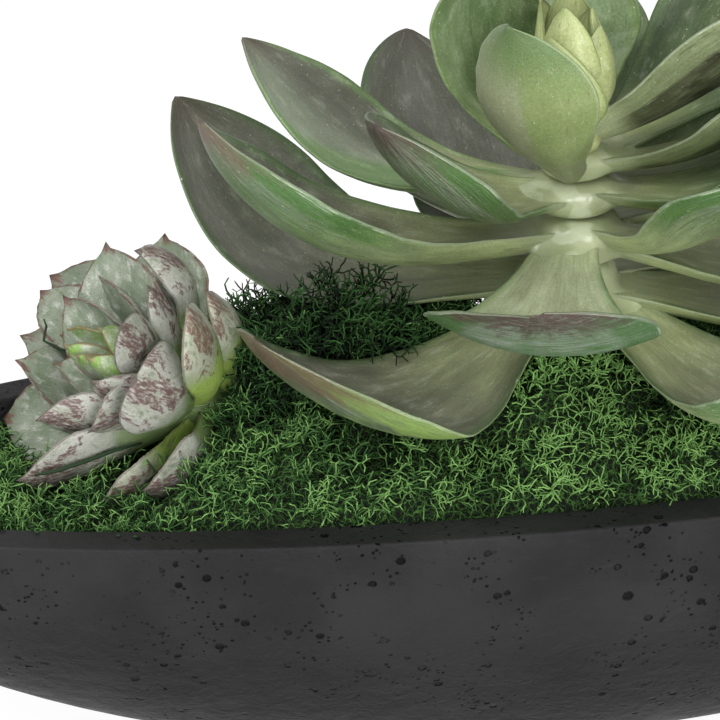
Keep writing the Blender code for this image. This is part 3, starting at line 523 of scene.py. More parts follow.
def bowl_paint():
    """Black cast concrete, waxed: soft scuffs, fields of pin holes and a few larger pits, with painted shade towards
    the foot and in the pits.
    """
    paint = Paint("concrete")
    where = paint.node("ShaderNodeTexCoord").outputs["Object"]
    cloud = paint.noise(where, 22, 5.0)
    grain = paint.noise(where, 900, 3.0, 0.7)
    scuff = paint.noise(paint.scaled(where, 60, 60, 260), 1.0, 5.0, 0.68, 0.4)
    colour = paint.mix(paint.step(cloud, 0.3, 0.7), (0.011, 0.011, 0.0112, 1), (0.018, 0.018, 0.0182, 1))
    colour = paint.mix(paint.step(scuff, 0.56, 0.80, 0.0, 0.55), colour, (0.022, 0.022, 0.0222, 1))
    colour = paint.mix(paint.step(grain, 0.60, 0.80, 0.0, 0.30), colour, (0.030, 0.030, 0.030, 1))
    # Painted shade: the colour is darkened towards the foot of the bowl, to a quarter at the floor, and lightened up to
    # 1.4 times from 9 cm up.
    height = paint.node("ShaderNodeSeparateXYZ", ((0, where),)).outputs[2]
    colour = shaded(paint, colour, paint.step(height, 0.0, 0.09, 0.25, 1.40))
    group = paint.step(paint.noise(where, 30, 2.0), 0.46, 0.60)
    pits = paint.sum("MULTIPLY", paint.step(paint.cells(where, 150), 0.26, 0.14),
                     paint.step(paint.noise(where, 150, 1.0), 0.48, 0.54))
    pits = paint.sum("MAXIMUM", pits, paint.sum("MULTIPLY", paint.step(paint.cells(where, 420), 0.28, 0.14),
                                                paint.step(paint.noise(where, 210, 1.0), 0.50, 0.56)))
    pits = paint.sum("MULTIPLY", pits, group)
    for spot, size in BOWL_PITS:
        apart = paint.node("ShaderNodeVectorMath", ((0, where), (1, spot)), operation="DISTANCE").outputs["Value"]
        ragged = paint.sum("MULTIPLY_ADD", grain, 0.9 * size, apart)
        pits = paint.sum("MAXIMUM", pits, paint.step(ragged, 1.5 * size, 0.9 * size))
    # Painted shade: the pin holes and pits are bumped in as hollows and painted near black for the shade inside them.
    colour = paint.mix(pits, colour, (0.002, 0.002, 0.002, 1))
    relief = paint.noise(paint.scaled(where, 100, 100, 130), 1.0, 5.0, 0.68, 0.6)
    normal = paint.bump(grain, 0.0004, 0.5)
    normal = paint.bump(cloud, 0.004, 0.35, normal)
    normal = paint.bump(relief, 0.0020, 0.5, normal)
    normal = paint.bump(paint.sum("SUBTRACT", 1.0, pits), 0.0050, 1.0, normal)
    return paint.finish(colour, paint.step(scuff, 0.3, 0.8, 0.40, 0.54), normal, 0.10)


def moss_paint(name, dark, middle, light):
    """Strand colours painted from deep shade to the tips. Uv map "strand": chance, raised by painted light on the tops
    of the cushions, and height in the strand.
    """
    paint = Paint(name)
    chance, tone = paint.parts(paint.uv("strand"))
    where = paint.node("ShaderNodeTexCoord").outputs["Object"]
    patch = paint.noise(where, 55, 3.0)
    # The first uv value is partly chance and partly painted light on the cushion tops. Together with the height in the
    # strand, it lightens the colour.
    lift = paint.sum("MULTIPLY_ADD", chance, 0.8, tone)
    lift = paint.sum("MULTIPLY_ADD", patch, 0.9, lift)
    # Painted light and shade: strands on the front mound are painted lighter, as lit, and those in the tall heap on the
    # left darker, as in shade.
    for spot, change in ((FRONT_MOUND, 0.52), (TALL_HEAPS[0], -0.36)):
        apart = paint.node("ShaderNodeVectorMath", ((0, where), (1, (spot[0], spot[1], 0.15))),
                           operation="DISTANCE").outputs["Value"]
        lift = paint.sum("ADD", lift, paint.step(apart, 0.075, 0.03, 0.0, change))
    colour = paint.mix(paint.step(lift, 0.76, 1.50), dark, middle)
    colour = paint.mix(paint.step(lift, 1.46, 2.22), colour, light)
    return paint.finish(colour, 0.75, None, 0.25)


def ground_paint():
    """Depth of the moss, painted as shade: a net of dim strands over near black gaps, in two layers."""
    paint = Paint("moss_ground")
    where = paint.node("ShaderNodeTexCoord").outputs["Object"]
    bend = paint.node("ShaderNodeTexNoise", (("Vector", where), ("Scale", 180.0), ("Detail", 3.0))).outputs["Color"]
    moved = paint.node("ShaderNodeVectorMath", ((0, bend), (1, (0.006, 0.006, 0.006)), (2, where)),
                       operation="MULTIPLY_ADD").outputs[0]
    net = paint.step(paint.cells(moved, 300, "DISTANCE_TO_EDGE"), 0.13, 0.04)
    small = paint.step(paint.cells(moved, 520, "DISTANCE_TO_EDGE"), 0.16, 0.04)
    # Painted shade: the gaps are near black and the strands in them dim.
    colour = paint.mix(small, srgb(10, 17, 9), srgb(34, 56, 26))
    colour = paint.mix(net, colour, srgb(62, 96, 44))
    normal = paint.bump(paint.sum("MULTIPLY_ADD", small, 0.5, net), 0.0016, 1.0)
    return paint.finish(colour, 0.85, normal, 0.2)


def plain_paint(name, colour, roughness, scale):
    """A quiet mottled surface for what lies hidden."""
    paint = Paint(name)
    where = paint.node("ShaderNodeTexCoord").outputs["Object"]
    grain = paint.noise(where, scale, 4.0, 0.7)
    darker = tuple(0.6 * part for part in colour[:3]) + (1.0,)
    normal = paint.bump(grain, 0.0008, 0.6)
    return paint.finish(paint.mix(grain, darker, colour), roughness, normal, 0.3)


def ease(value):
    """A soft step from 0 to 1."""
    held = np.clip(value, 0.0, 1.0)
    return held * held * (3 - 2 * held)


def width_share(along, plan):
    """Width of a leaf as a share of its widest: narrow neck, broad blade, pointed tip."""
    growing = plan.neck + (1 - plan.neck) * ease(along / plan.widest)
    past = np.clip((along - plan.widest) / (1 - plan.widest), 0.0, 1.0)
    closing = np.clip(1 - past ** TIP_ROUND, 0.0, None) ** TIP_POINT
    return np.where(along < plan.widest, growing, closing)


class LeafMesh:
    """Collects fine leaves of one piece and makes the object."""

    def __init__(self, frame=(np.eye(3), np.zeros(3))):
        self.axes, self.origin = frame
        self.points, self.faces, self.slots = [], [], []
        self.place, self.flat = [], []
        self.count = 0

    def add(self, points, faces, slots, place, flat):
        self.points.append(np.asarray(points) @ self.axes.T + self.origin)
        self.faces.extend([tuple(corner + self.count for corner in face) for face in faces])
        self.slots.extend(slots)
        self.place.append(np.asarray(place))
        self.flat.append(np.asarray(flat))
        self.count += len(points)

    def make(self, name, materials, smooth_angle=60):
        mesh = bpy.data.meshes.new(name)
        points = np.vstack(self.points)
        mesh.from_pydata(points.tolist(), [], self.faces)
        for item in materials:
            mesh.materials.append(item)
        mesh.polygons.foreach_set("material_index", self.slots)
        corners = np.zeros(len(mesh.loops), int)
        mesh.loops.foreach_get("vertex_index", corners)
        for layer, values in (("place", self.place), ("flat", self.flat)):
            spread = np.vstack(values)[corners]
            mesh.uv_layers.new(name=layer).data.foreach_set("uv", spread.ravel())
        mesh.shade_smooth()
        mesh.update()
        made = bpy.data.objects.new(name, mesh)
        bpy.context.scene.collection.objects.link(made)
        return made


def leaf_stations(rows):
    """Stations along a leaf, closer together towards its tip."""
    return 1 - (1 - np.linspace(0.0, 1.0, rows + 1)) ** 1.25


def add_leaf(sheet, leaf, plan, root_radius, rows, cols, chance, slots=(0, 1), ripple=0.8, tip_thick=0.5,
             teeth=0.0, spine=0.0):
    """One closed leaf: upper face, rounded margin, lower face, pointed tip, teeth and spine if asked."""
    fine = np.linspace(0.0, 1.0, 8 * rows + 1)
    rise = np.radians(leaf.neck + (leaf.blade - leaf.neck) * ease((fine - leaf.knee) / KNEE_REACH + 0.5)
                      + leaf.hook * fine ** 4)
    turn = np.radians(leaf.turn + leaf.bend * fine)
    ahead = np.stack([np.cos(rise) * np.cos(turn), np.cos(rise) * np.sin(turn), np.sin(rise)], 1)
    step = leaf.length * MM / (len(fine) - 1)
    middle = np.vstack([[0, 0, 0], np.cumsum((ahead[1:] + ahead[:-1]) / 2 * step, axis=0)])
    first_turn = math.radians(leaf.turn)
    middle += (root_radius * math.cos(first_turn), root_radius * math.sin(first_turn), leaf.height * MM)

    along = leaf_stations(rows)
    middle = np.stack([np.interp(along, fine, middle[:, axis]) for axis in range(3)], 1)
    ahead = np.stack([np.interp(along, fine, ahead[:, axis]) for axis in range(3)], 1)
    ahead /= np.linalg.norm(ahead, axis=1)[:, None]
    turn = np.interp(along, fine, turn)
    level_side = np.stack([np.sin(turn), -np.cos(turn), np.zeros_like(turn)], 1)
    level_up = np.cross(level_side, ahead)
    roll = np.radians(leaf.roll + leaf.twist * along)[:, None]
    side = level_side * np.cos(roll) + level_up * np.sin(roll)
    up = np.cross(side, ahead)

    half = leaf.width * MM / 2 * width_share(along, plan)
    across = np.sin(np.linspace(-math.pi / 2, math.pi / 2, cols + 1))
    sideways = np.sin(across * leaf.channel) / leaf.channel
    upward = (1 - np.cos(across * leaf.channel)) / leaf.channel
    centre = (middle[:, None, :]
              + side[:, None, :] * (half[:, None] * sideways)[:, :, None]
              + up[:, None, :] * (half[:, None] * upward)[:, :, None])
    normal = (up[:, None, :] * np.cos(across * leaf.channel)[None, :, None]
              - side[:, None, :] * np.sin(across * leaf.channel)[None, :, None])
    outward = (side[:, None, :] * np.cos(across * leaf.channel)[None, :, None]
               + up[:, None, :] * np.sin(across * leaf.channel)[None, :, None])

    # Margins wave a little, more towards the tip, and each leaf in its own way
    waves = sum(math.cos(3.7 * chance + 2.1 * number) * np.sin(number * 6.3 * along[:, None] * (1.3 + 0.1 * number)
                + 5 * chance * number + 1.7 * np.sign(across)[None, :]) / number for number in (1, 2, 3, 5))
    centre += normal * (ripple * MM * np.abs(across)[None, :] ** 3 * ease(along / 0.5)[:, None] * waves)[:, :, None]

    swell = plan.root_thick + (plan.mid_thick - plan.root_thick) * ease(along / BLADE_SET) - plan.edge_thick
    swell *= 1 - BLADE_THINS * ease((along - BLADE_SET) / (1 - BLADE_SET))
    edge = plan.edge_thick - (plan.edge_thick - tip_thick) * ease((along - 0.9) / 0.1)
    thick = MM * (edge[:, None] + swell[:, None] * (1 - across ** 2)[None, :])[:, :, None]
    upper = centre + normal * UPPER_SHARE * thick
    lower = centre - normal * (1 - UPPER_SHARE) * thick
    jagged = teeth * MM * (np.arange(rows + 1) % 2)[:, None] * ease(along / 0.3)[:, None]
    bulge = 0.45 * thick[:, 0] + jagged
    left = (upper[:, 0] + lower[:, 0]) / 2 - outward[:, 0] * bulge
    right = (upper[:, -1] + lower[:, -1]) / 2 + outward[:, -1] * bulge

    rings = np.concatenate([left[:, None], upper, right[:, None], lower[:, ::-1]], axis=1)[:-1]
    wide = cols + 1
    share = np.concatenate([[0.0], (across + 1) / 2, [1.0], (across[::-1] + 1) / 2])
    count = rings.shape[1]
    tip = (upper[-1].mean(axis=0) + lower[-1].mean(axis=0)) / 2 + ahead[-1] * spine * MM
    points = np.vstack([rings.reshape(-1, 3), tip[None]])
    rows_kept = rings.shape[0]
    place = np.stack(np.broadcast_arrays(share[None, :], along[:-1, None]), 2).reshape(-1, 2)
    flat = (place - (0.5, 0.0)) * (leaf.width * MM, leaf.length * MM)
    if spine:
        flat[:, 0] *= np.repeat(width_share(along[:-1], plan), count)
    offset = np.array([chance * 1.37 % 1.0, chance * 2.71 % 1.0])
    lower_face = np.tile(np.arange(count) > wide + 1, rows_kept)
    flat[lower_face] += (0.31, 0.17)
    place = np.vstack([place, [0.5, 1.0]])
    flat = np.vstack([flat, [0.0, leaf.length * MM]]) + offset

    faces = [tuple(range(count))]
    kinds = [slots[1]]
    for row in range(rows_kept - 1):
        low = row * count
        for spot in range(count):
            after = (spot + 1) % count
            faces.append((low + spot, low + after, low + count + after, low + count + spot))
            kinds.append(slots[0] if spot <= wide else slots[1])
    last = (rows_kept - 1) * count
    for spot in range(count):
        faces.append((last + spot, last + (spot + 1) % count, rows_kept * count))
        kinds.append(slots[0] if spot <= wide else slots[1])
    sheet.add(points, faces, kinds, place, flat)
    return points


def add_lathe(sheet, profile, sides, slot, length):
    """Round core from (radius, height) pairs, with caps."""
    turns = np.arange(sides) * 2 * math.pi / sides
    points, place, flat, faces = [], [], [], []
    for radius, height in profile:
        for turn in turns:
            points.append((radius * math.cos(turn), radius * math.sin(turn), height))
            place.append((0.5, radius / length))
            flat.append((radius * math.cos(turn), radius * math.sin(turn) + height))
    for level in range(len(profile) - 1):
        for spot in range(sides):
            after = (spot + 1) % sides
            low, high = level * sides, (level + 1) * sides
            faces.append((low + spot, low + after, high + after, high + spot))
    faces.append(tuple(range(sides))[::-1])
    faces.append(tuple(range((len(profile) - 1) * sides, len(profile) * sides)))
    sheet.add(points, faces, [slot] * len(faces), place, flat)


def piece(made, node=None):
    """Rides with the object and replaces its CAD node, which it hides."""
    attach(made, "root")
    if node:
        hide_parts(node)
    return made


def hub_skin(name, leaves, plan, floor, ceiling, radius, reach=27 * MM):
    """The moulded middle of a whorl: leaf roots and hub run into each other with soft fillets."""
    roots = LeafMesh()
    add_lathe(roots, [(radius - 2 * MM, floor + 0.3 * MM), (radius, floor + 2 * MM), (radius, ceiling - 2 * MM),
                      (radius - 2 * MM, ceiling)], 48, 0, 0.15)
    for number, leaf in enumerate(leaves):
        add_leaf(roots, leaf, plan, LEAF_ROOT, 40, 8, number * 0.37, (0, 0), 0.0)
    made = roots.make(name, [])
    shape = bmesh.new()
    shape.from_mesh(made.data)
    far = [face for face in shape.faces if face.calc_center_median().xy.length > reach
           or face.calc_center_median().z > ceiling + 7 * MM]
    bmesh.ops.delete(shape, geom=far, context="FACES")
    bmesh.ops.holes_fill(shape, edges=[edge for edge in shape.edges if edge.is_boundary])
    shape.to_mesh(made.data)
    shape.free()
    remesh = made.modifiers.new("skin", "REMESH")
    remesh.mode = "VOXEL"
    remesh.voxel_size = 1.2 * MM
    smooth = made.modifiers.new("soft", "SMOOTH")
    smooth.factor = 0.6
    smooth.iterations = 55
    with bpy.context.temp_override(object=made, active_object=made):
        bpy.ops.object.modifier_apply(modifier="skin")
        bpy.ops.object.modifier_apply(modifier="soft")
    points = np.zeros(len(made.data.vertices) * 3)
    made.data.vertices.foreach_get("co", points)
    points = points.reshape(-1, 3)
    faces = [tuple(face.vertices) for face in made.data.polygons]
    mesh = made.data
    bpy.data.objects.remove(made)
    bpy.data.meshes.remove(mesh)
    return points, faces


def whorl_looks():
    """Finishes of the large leaves by name."""
    taupe = leaf_upper("upper_taupe", srgb(98, 100, 86), srgb(110, 110, 100), srgb(150, 158, 112),
                       srgb(76, 108, 58), srgb(80, 68, 58), 0.48)
    wide = leaf_upper("upper_wide_margin", srgb(88, 90, 76), srgb(106, 108, 94), srgb(160, 170, 116),
                      srgb(112, 146, 84), srgb(84, 70, 60), 0.40, 0)
    pale = leaf_upper("upper_pale", srgb(124, 132, 102), srgb(134, 138, 118), srgb(160, 168, 134),
                      srgb(92, 122, 68), srgb(84, 62, 56), 0.80)
    green = leaf_upper("upper_green", srgb(94, 118, 74), srgb(120, 138, 100), srgb(170, 182, 124),
                       srgb(122, 146, 88), srgb(96, 88, 64), 0.35)
    deep = leaf_upper("upper_deep", srgb(68, 86, 52), srgb(80, 98, 62), srgb(150, 162, 104),
                      srgb(104, 130, 78), srgb(80, 74, 54), 0.35)
    light = leaf_lower("lower_light", srgb(150, 162, 128), srgb(176, 186, 160), srgb(124, 158, 96),
                       srgb(180, 190, 138), srgb(100, 82, 70))
    # Painted light and shade: lower_dark, for the two low whorls, is painted darker than lower_light as shade on outer
    # faces that turn down, and its lime root lighter, as lit from the front.
    dark = leaf_lower("lower_dark", srgb(92, 116, 76), srgb(112, 126, 106), srgb(68, 106, 48),
                      srgb(196, 208, 150), srgb(100, 78, 70), 0.96, 0.74, band_end=0.36)
    purple = leaf_lower("lower_purple_tip", srgb(104, 118, 88), srgb(142, 152, 132), srgb(70, 108, 48),
                        srgb(150, 176, 108), srgb(70, 46, 48), 0.93, 0.45)
    middle = leaf_lower("lower_folded", srgb(92, 116, 80), srgb(144, 154, 142), srgb(58, 98, 42),
                        srgb(140, 160, 110), srgb(66, 44, 40), 0.88, 0.50, True, 0.76)
    # Painted shade: lower_left is painted dark, as shade where the outer face of the leaf in front turns down.
    left = leaf_lower("lower_left", srgb(84, 98, 76), srgb(112, 124, 106), srgb(134, 162, 82),
                      srgb(104, 130, 74), srgb(92, 70, 54), 0.88, 0.30, False, 0.66)
    olive = leaf_upper("upper_olive", srgb(62, 64, 44), srgb(74, 74, 56), srgb(126, 134, 88),
                       srgb(116, 136, 84), srgb(80, 74, 54), 0.28)
    brown = leaf_lower("lower_brown", srgb(62, 64, 44), srgb(80, 82, 60), srgb(132, 144, 104),
                       srgb(76, 80, 54), srgb(92, 84, 62), 0.80, 0.30, False, 0.62)
    return {"taupe": taupe, "wide": wide, "pale": pale, "green": green, "deep": deep, "olive": olive, "light": light,
            "dark": dark, "purple": purple, "middle": middle, "left": left, "brown": brown, "front": front_leaf("lower_front"),
            "hub": hub_paint()}


def large_whorls(looks):
    """Four stars of leaves, one piece each."""
    for number, (leaves, plan) in enumerate(WHORLS):
        names = [LEAF_LOOKS.get((number + 1, place), WHORL_LOOKS[number]) for place in range(len(leaves))]
        used = sorted({name for pair in names for name in pair}) + ["hub"]
        sheet = LeafMesh()
        for place, leaf in enumerate(leaves):
            inner, outer = names[place]
            add_leaf(sheet, leaf, plan, LEAF_ROOT, 50, 16, number * 1.31 + place * 0.57 + 0.2,
                     (used.index(inner), used.index(outer)))
        points, faces = hub_skin("hub", leaves, plan, WHORL_FLOORS[number], WHORL_FLOORS[number + 1],
                                 HUB_RADII[number])
        place = np.full((len(points), 2), 0.5)
        sheet.add(points, faces, [used.index("hub")] * len(faces), place, points[:, :2])
        made = sheet.make(f"whorl_{number + 1}_leaves", [looks[name] for name in used])
        piece(made, f"whorl_{number + 1}")


def large_bud(looks):
    upper = leaf_upper("bud_upper", srgb(158, 168, 116), srgb(170, 178, 124), srgb(190, 198, 134),
                       srgb(132, 152, 90), srgb(120, 118, 80))
    lower = leaf_upper("bud_lower", srgb(172, 182, 124), srgb(182, 190, 136), srgb(182, 188, 132),
                       srgb(168, 184, 112), srgb(150, 166, 104))
    sheet = LeafMesh()
    floor = WHORL_FLOORS[-1] + 0.3 * MM
    add_lathe(sheet, [(8 * MM, floor), (9 * MM, floor + 3 * MM), (8 * MM, floor + 12 * MM),
                      (3 * MM, floor + 30 * MM)], 24, 1, 0.05)
    for place, leaf in enumerate(BUD):
        slots = (2, 3) if place in BUD_LARGE else (0, 1)
        add_leaf(sheet, leaf, BUD_PLAN, BUD_LEAF_ROOT, 40, 14, 7.3 + place * 0.61, slots, 0.4)
    piece(sheet.make("bud_leaves", [upper, lower, looks["olive"], looks["brown"]]), "bud")


def small_frame():
    """Axes and root of the left small rosette: across, over and along its axis."""
    turn = math.radians(SMALL_AZIMUTH)
    rise = math.radians(SMALL_RISE)
    axis = np.array([math.cos(rise) * math.cos(turn), math.cos(rise) * math.sin(turn), math.sin(rise)])
    level = np.array([-math.sin(turn), math.cos(turn), 0.0])
    return np.stack([level, np.cross(axis, level), axis], 1), np.array(SMALL_ROOT)


def small_rosettes():
    upper = small_upper("small_upper", srgb(118, 132, 108), srgb(112, 134, 84), srgb(96, 50, 40))
    lower = small_lower("small_lower", srgb(112, 134, 82), srgb(194, 193, 186), srgb(92, 60, 56))
    lime = small_lower("small_lime", srgb(160, 186, 92), srgb(200, 202, 184), srgb(112, 78, 66), 0.46)
    heart = small_upper("small_heart", srgb(132, 166, 84), srgb(150, 184, 92), srgb(140, 104, 74))
    axes, root = small_frame()
    sheet = LeafMesh((axes, root))
    add_lathe(sheet, [(6 * MM, -4 * MM), (10 * MM, 1 * MM), (10 * MM, 9 * MM), (6 * MM, 20 * MM),
                      (3 * MM, 28 * MM)], 20, 1, 0.05)
    number = 0
    for ring, (leaves, plan, root_radius) in enumerate(SMALL_RINGS):
        for place, leaf in enumerate(leaves):
            slots = (3, 3) if ring == 3 else (0, 2) if (ring, place) in SMALL_LIME else (0, 1)
            add_leaf(sheet, leaf, plan, root_radius, 28, 12, 3.1 + 0.73 * number, slots, 0.5, 0.4, 0.35, 2.2)
            number += 1
    left = sheet.make("small_leaves_left", [upper, lower, lime, heart])
    right = bpy.data.objects.new("small_leaves_right", left.data.copy())
    right.data.transform(Matrix.Rotation(math.pi, 4, "Z"))
    bpy.context.scene.collection.objects.link(right)
    piece(left, "rosette_small_left")
    piece(right, "rosette_small_right")


def half_sizes(height, inset=0.0):
    """Half length and half width of the bowl's outer plan at a height, less an inset."""
    depth = 1 - height / BOWL_HEIGHT
    swell = max(0.0, 1 - depth ** SIDE_POWER) ** (1 / SIDE_ROUND)
    return [size / 2 * (base + (1 - base) * swell) - inset
            for size, base in zip((BOWL_LENGTH, BOWL_WIDTH), BASE_SHARES)]


def fine_bowl():
    """The bowl with a smooth side, softly rounded rim edges and shallow dents."""
    sides = 280
    levels = []
    for step in range(24):
        height = BOWL_HEIGHT * (1 - math.cos(math.pi / 2 * step / 24))
        levels.append((height, 0.0))
    levels = [(height, inset) for height, inset in levels if height < BOWL_HEIGHT - 1.2 * MM]
    levels += [(BOWL_HEIGHT - 1.1 * MM, 0.0), (BOWL_HEIGHT - 0.5 * MM, 0.15 * MM), (BOWL_HEIGHT - 0.1 * MM, 0.6 * MM),
               (BOWL_HEIGHT, 1.2 * MM)]
    for share in (0.3, 0.5, 0.7):
        levels.append((BOWL_HEIGHT, WALL * share))
    levels += [(BOWL_HEIGHT, WALL - 1.2 * MM), (BOWL_HEIGHT - 0.1 * MM, WALL - 0.6 * MM),
               (BOWL_HEIGHT - 0.5 * MM, WALL - 0.15 * MM), (BOWL_HEIGHT - 1.1 * MM, WALL)]
    for height in (100, 88, 75, 62, 49, 36, 27, 22):
        levels.append((height * MM, WALL))
    levels.append((18 * MM, WALL + 8 * MM))
    turns = np.arange(sides) * 2 * math.pi / sides
    points = []
    for height, inset in levels:
        half_length, half_width = half_sizes(height, inset)
        ring = np.stack([half_length * np.cos(turns), half_width * np.sin(turns), np.full(sides, height)], 1)
        points.append(ring)
    points = np.vstack(points)
    faces = [tuple(range(sides))[::-1]]
    for level in range(len(levels) - 1):
        for spot in range(sides):
            after = (spot + 1) % sides
            low, high = level * sides, (level + 1) * sides
            faces.append((low + spot, low + after, high + after, high + spot))
    faces.append(tuple(range((len(levels) - 1) * sides, len(levels) * sides)))
    mesh = bpy.data.meshes.new("bowl_cast")
    mesh.from_pydata(points.tolist(), [], faces)
    mesh.materials.append(bowl_paint())
    mesh.shade_smooth()
    mesh.set_sharp_from_angle(angle=math.radians(60))
    made = bpy.data.objects.new("bowl_cast", mesh)
    bpy.context.scene.collection.objects.link(made)
    piece(made, "bowl")


def tree_of(*objects):
    """One search tree over several meshes."""
    points, faces, count = [], [], 0
    for item in objects:
        points.extend([vertex.co.copy() for vertex in item.data.vertices])
        faces.extend([tuple(corner + count for corner in face.vertices) for face in item.data.polygons])
        count = len(points)
    return BVHTree.FromPolygons(points, faces)


# Strands of moss. A sprig starts below the moss top and forks with these chances level by level.
STRAND_STEP = 1.8 * MM
STRAND_RADIUS = 0.31 * MM
STRAND_CURL = 0.36
STRAND_FORKS = (0.95, 0.35, 0.7, 0.35, 0.65, 0.35, 0.45, 0.0)
FORK_SPREAD = 0.95
SPRIG_DEPTH = 9 * MM
SPRIG_SPACING = 5.8 * MM
CLUMP_SPACING = 19 * MM
CLUMP_VALLEY = -5 * MM
THINNER_FROM = 70 * MM       # past this X, which the photo doesn't show, moss is thinner
MOSS_PIECES = 5
FRONT_MOUND = (-5 * MM, -45 * MM)
TALL_HEAPS = ((-84 * MM, 10 * MM, 175 * MM, 46 * MM, 30 * MM),      # middle, top, measure along and across
              (-42 * MM, 12 * MM, 163 * MM, 26 * MM, 24 * MM))

# Moss: what its top would be with nothing above it, as in the part's source. A mound has its
# middle in X and Y, its rise, and its measure along and across the bowl.
MOSS_EDGE_TOP = 106 * MM
MOSS_CROWN = 30 * MM
END_CROWN = 0.25
CROWN_REACH = 145 * MM
CROWN_ROUND = 0.55
FOAM_TOP = 90 * MM
MOUNDS = (
    (-9 * MM, -30 * MM, 17 * MM, 30 * MM, 20 * MM),
    (-92 * MM, 38 * MM, 30 * MM, 20 * MM, 18 * MM),
    (-52 * MM, 45 * MM, 9 * MM, 22 * MM, 16 * MM),
)


def moss_wish(x, y):
    half_length, half_width = half_sizes(MOSS_EDGE_TOP, WALL)
    out = np.minimum(1.0, (x / half_length) ** 2 + (y / half_width) ** 2)
    middle = 1 / (1 + (np.abs(x) / CROWN_REACH) ** 8)
    crown = MOSS_CROWN * (END_CROWN + (1 - END_CROWN) * middle) * (1 - out) ** CROWN_ROUND
    lumps = 3.0 * np.sin(x / 0.013 + 1.3) * np.cos(y / 0.011 + 0.4) + 2.0 * np.sin(x / 0.0065 - y / 0.009)
    lumps *= MM
    for east, north, rise, along, across in MOUNDS:
        lumps += rise * np.exp(-((x - east) / along) ** 2 - ((y - north) / across) ** 2)
    low_end = 5 * MM * np.clip((-130 * MM - x) / (30 * MM), 0.0, 1.0)
    return MOSS_EDGE_TOP + crown + lumps * (1 - out) - low_end


class Clumps:
    """Soft round cushions of moss on a jittered grid, with valleys between them."""

    def __init__(self, rng):
        half_length, half_width = half_sizes(MOSS_EDGE_TOP, WALL)
        spots = []
        for row, north in enumerate(np.arange(-half_width, half_width, CLUMP_SPACING * 0.87)):
            for east in np.arange(-half_length, half_length, CLUMP_SPACING):
                spots.append((east + (row % 2) * CLUMP_SPACING / 2, north))
        self.spots = np.array(spots) + rng.normal(0, 0.2, (len(spots), 2)) * CLUMP_SPACING
        self.rises = (0.5 + 5.5 * rng.random(len(spots))) * MM
        self.radii = CLUMP_SPACING * (0.45 + 0.3 * rng.random(len(spots)))

    def rise(self, x, y):
        gaps = np.hypot(x[:, None] - self.spots[:, 0], y[:, None] - self.spots[:, 1])
        domes = self.rises - 6.5 * MM * (gaps / self.radii) ** 2
        return np.maximum(domes.max(axis=1), CLUMP_VALLEY)


def moss_tops(spots, leaves, clumps):
    """Height that the moss reaches at each spot, and whether a leaf lies low above it."""
    tops = moss_wish(spots[:, 0], spots[:, 1]) + clumps.rise(spots[:, 0], spots[:, 1])
    covered = np.zeros(len(spots), bool)
    for number, (x, y) in enumerate(spots):
        hit = leaves.ray_cast(Vector((x, y, FOAM_TOP)), Vector((0, 0, 1)))[0]
        if hit:
            covered[number] = hit.z < tops[number] + 12 * MM
            tops[number] = min(tops[number], hit.z - 1.5 * MM)
    return tops, covered


def ups_of(spots, clumps):
    """Direction straight out of the moss top at each spot."""
    near = 2.5 * MM

    def height(x, y):
        return moss_wish(x, y) + clumps.rise(x, y)

    x, y = spots[:, 0], spots[:, 1]
    east = (height(x + near, y) - height(x - near, y)) / (2 * near)
    north = (height(x, y + near) - height(x, y - near)) / (2 * near)
    return unit(np.column_stack([-np.clip(east, -1.3, 1.3), -np.clip(north, -1.3, 1.3), np.ones(len(spots))]))


def moss_ground(leaves, clumps, rng):
    """Lumpy ground that shows between the strands, painted dark as the shade deep in the moss."""
    rings, sides = 34, 170
    half_length, half_width = half_sizes(MOSS_EDGE_TOP, WALL + 1 * MM)
    turns = np.arange(sides) * 2 * math.pi / sides
    shares = np.linspace(1.0, 0.02, rings)
    spots = np.vstack([np.stack([half_length * share * np.cos(turns), half_width * share * np.sin(turns)], 1)
                       for share in shares])
    tops = moss_tops(spots, leaves, clumps)[0] - 5.5 * MM + rng.normal(0, 0.6, len(spots)) * MM
    tops = np.maximum(tops, FOAM_TOP + 1 * MM)
    points = np.column_stack([spots, tops])
    foot = points[:sides].copy()
    foot[:, 2] = FOAM_TOP
    points = np.vstack([foot, points])
    faces = [tuple(range(sides))[::-1]]
    for level in range(rings):
        for spot in range(sides):
            after = (spot + 1) % sides
            low, high = level * sides, (level + 1) * sides
            faces.append((low + spot, low + after, high + after, high + spot))
    faces.append(tuple(range(rings * sides, (rings + 1) * sides)))
    mesh = bpy.data.meshes.new("moss_ground")
    mesh.from_pydata(points.tolist(), [], faces)
    mesh.materials.append(ground_paint())
    mesh.shade_smooth()
    made = bpy.data.objects.new("moss_ground", mesh)
    bpy.context.scene.collection.objects.link(made)
    piece(made, "moss_bed")


def unit(vectors):
    return vectors / np.linalg.norm(vectors, axis=1)[:, None]


def free_of(tree, points, clear):
    """True for points that lie outside all leaves and off their surface."""
    free = np.ones(len(points), bool)
    for number, point in enumerate(points):
        spot, normal, _, distance = tree.find_nearest(Vector(point), 8 * MM)
        if spot is not None:
            inside = (Vector(point) - spot).dot(normal) < 0
            free[number] = not inside and distance > clear
    return free


